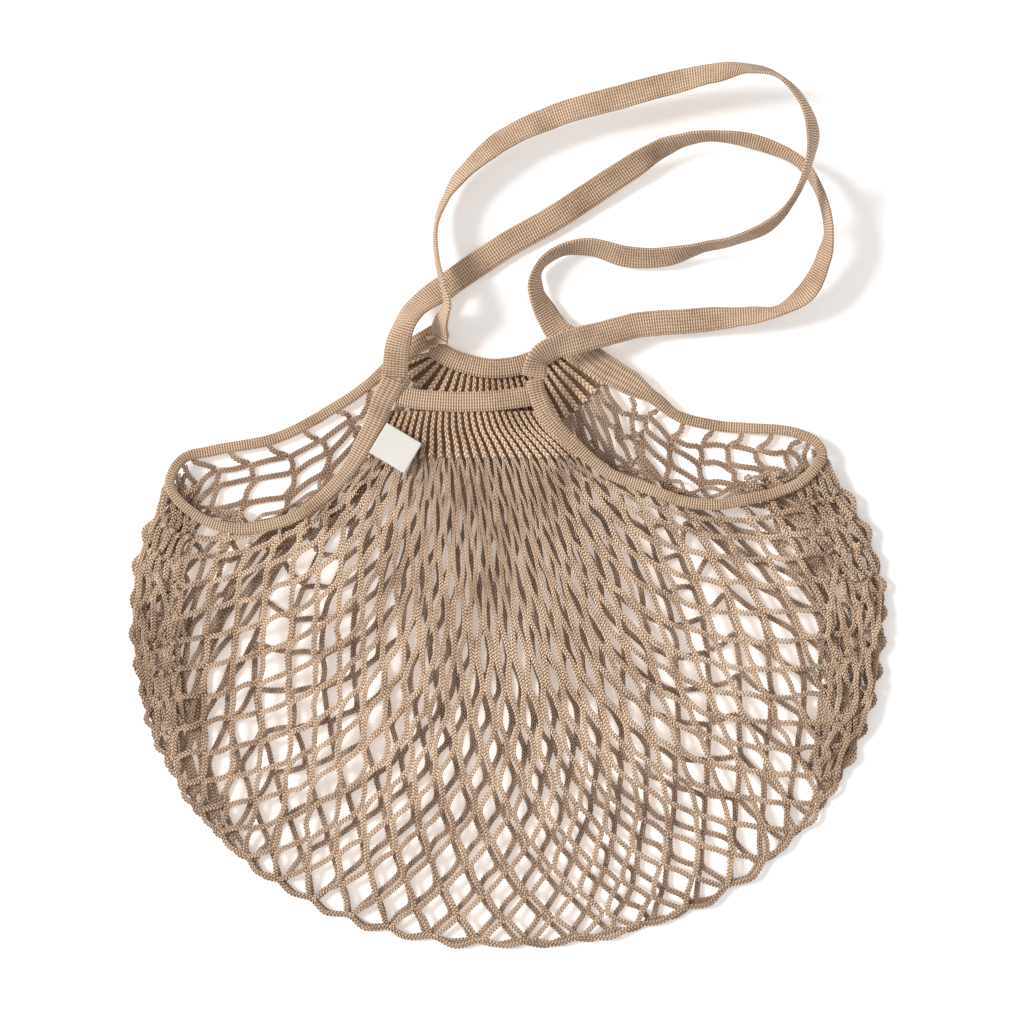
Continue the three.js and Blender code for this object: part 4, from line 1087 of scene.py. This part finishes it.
def label_piece():
    """The label on the left tape: its right end curls up, and its four edges are a little thicker."""
    place = left_mouth.at(2 / left_mouth.spans)[0]
    seat = left_mouth.at(1.3 / left_mouth.spans)[0][2] + BINDING_THICKNESS / 2 + 0.3
    middle = np.array([place[0] + LABEL_REACH, place[1] - LABEL_DROP, seat + LABEL_THICKNESS / 2])
    columns, levels = 25, 21
    u, v = np.meshgrid(np.linspace(-0.5, 0.5, columns), np.linspace(0.5, -0.5, levels))
    u, v = u.ravel(), v.ravel()
    x, y = u * LABEL_WIDTH, v * LABEL_DEPTH
    turn = math.radians(LABEL_TURN)
    curl = 0.9 * smooth(u + 0.5) ** 2 * (0.6 - v)
    base = middle + np.stack([
        x * math.cos(turn) - y * math.sin(turn),
        x * math.sin(turn) + y * math.cos(turn),
        curl,
    ], -1)
    upper = base + [0, 0, 0.3]
    upper[:, 2] += np.where((np.abs(u) > 0.46) | (np.abs(v) > 0.455), 0.12, 0)
    lower = base - [0, 0, 0.3]
    return add_mesh(
        "label_cloth", np.vstack([upper, lower]), slab_faces(levels, columns), cloth_material(), ("label",))


label = label_piece()


def floor_material():
    """White surface, with a little more glow below the bag, for the light that the cords throw on it."""
    material, tree, shader = new_material("white_floor", {
        "Base Color": FLOOR_COLOUR, "Roughness": 0.9, "Specular IOR Level": 0.1, "Emission Strength": 1})
    place = tree.nodes.new("ShaderNodeTexCoord")
    oval = tree.nodes.new("ShaderNodeMapping")
    set_inputs(oval, {
        "Scale": (1 / GLOW_REACH_ACROSS, 1 / GLOW_REACH_UP, 1),
        "Location": (-SHIFT[0] * MM / GLOW_REACH_ACROSS, -(SHIFT[1] - 20) * MM / GLOW_REACH_UP, 0),
    })
    ball = tree.nodes.new("ShaderNodeTexGradient")
    ball.gradient_type = "SPHERICAL"
    tree.links.new(place.outputs["Object"], oval.inputs["Vector"])
    tree.links.new(oval.outputs["Vector"], ball.inputs["Vector"])
    glow = ramp(tree, ball.outputs["Fac"], 0, FLOOR_GLOW, 0.12, GLOW_BELOW_BAG)
    tree.links.new(glow, shader.inputs["Emission Color"])
    return material


# The stage: white surface, camera straight above, sun from the left, even light from all around
bpy.ops.mesh.primitive_plane_add(size=6, location=(0, 0, 0))
floor = bpy.context.object
floor.name = "floor"
floor.data.materials.append(floor_material())

camera_data = bpy.data.cameras.new("camera")
camera_data.lens = 102.3
camera_data.sensor_width = 36
camera_data.clip_end = 20
camera = bpy.data.objects.new("camera", camera_data)
camera.location = (0.0025, -0.0018, 1.6)
stage.collection.objects.link(camera)
stage.camera = camera

sun_data = bpy.data.lights.new("key", "SUN")
sun_data.energy = 2.6
sun_data.angle = math.radians(16)
sun_data.color = (1.0, 0.985, 0.96)
sun = bpy.data.objects.new("key", sun_data)
sun.rotation_euler = (math.radians(-10.5), math.radians(-49), 0)
stage.collection.objects.link(sun)

world = bpy.data.worlds.new("studio")
world.use_nodes = True
background = world.node_tree.nodes["Background"]
background.inputs["Color"].default_value = (1, 1, 1, 1)
background.inputs["Strength"].default_value = 0.62
stage.world = world
stage.view_settings.view_transform = "Standard"
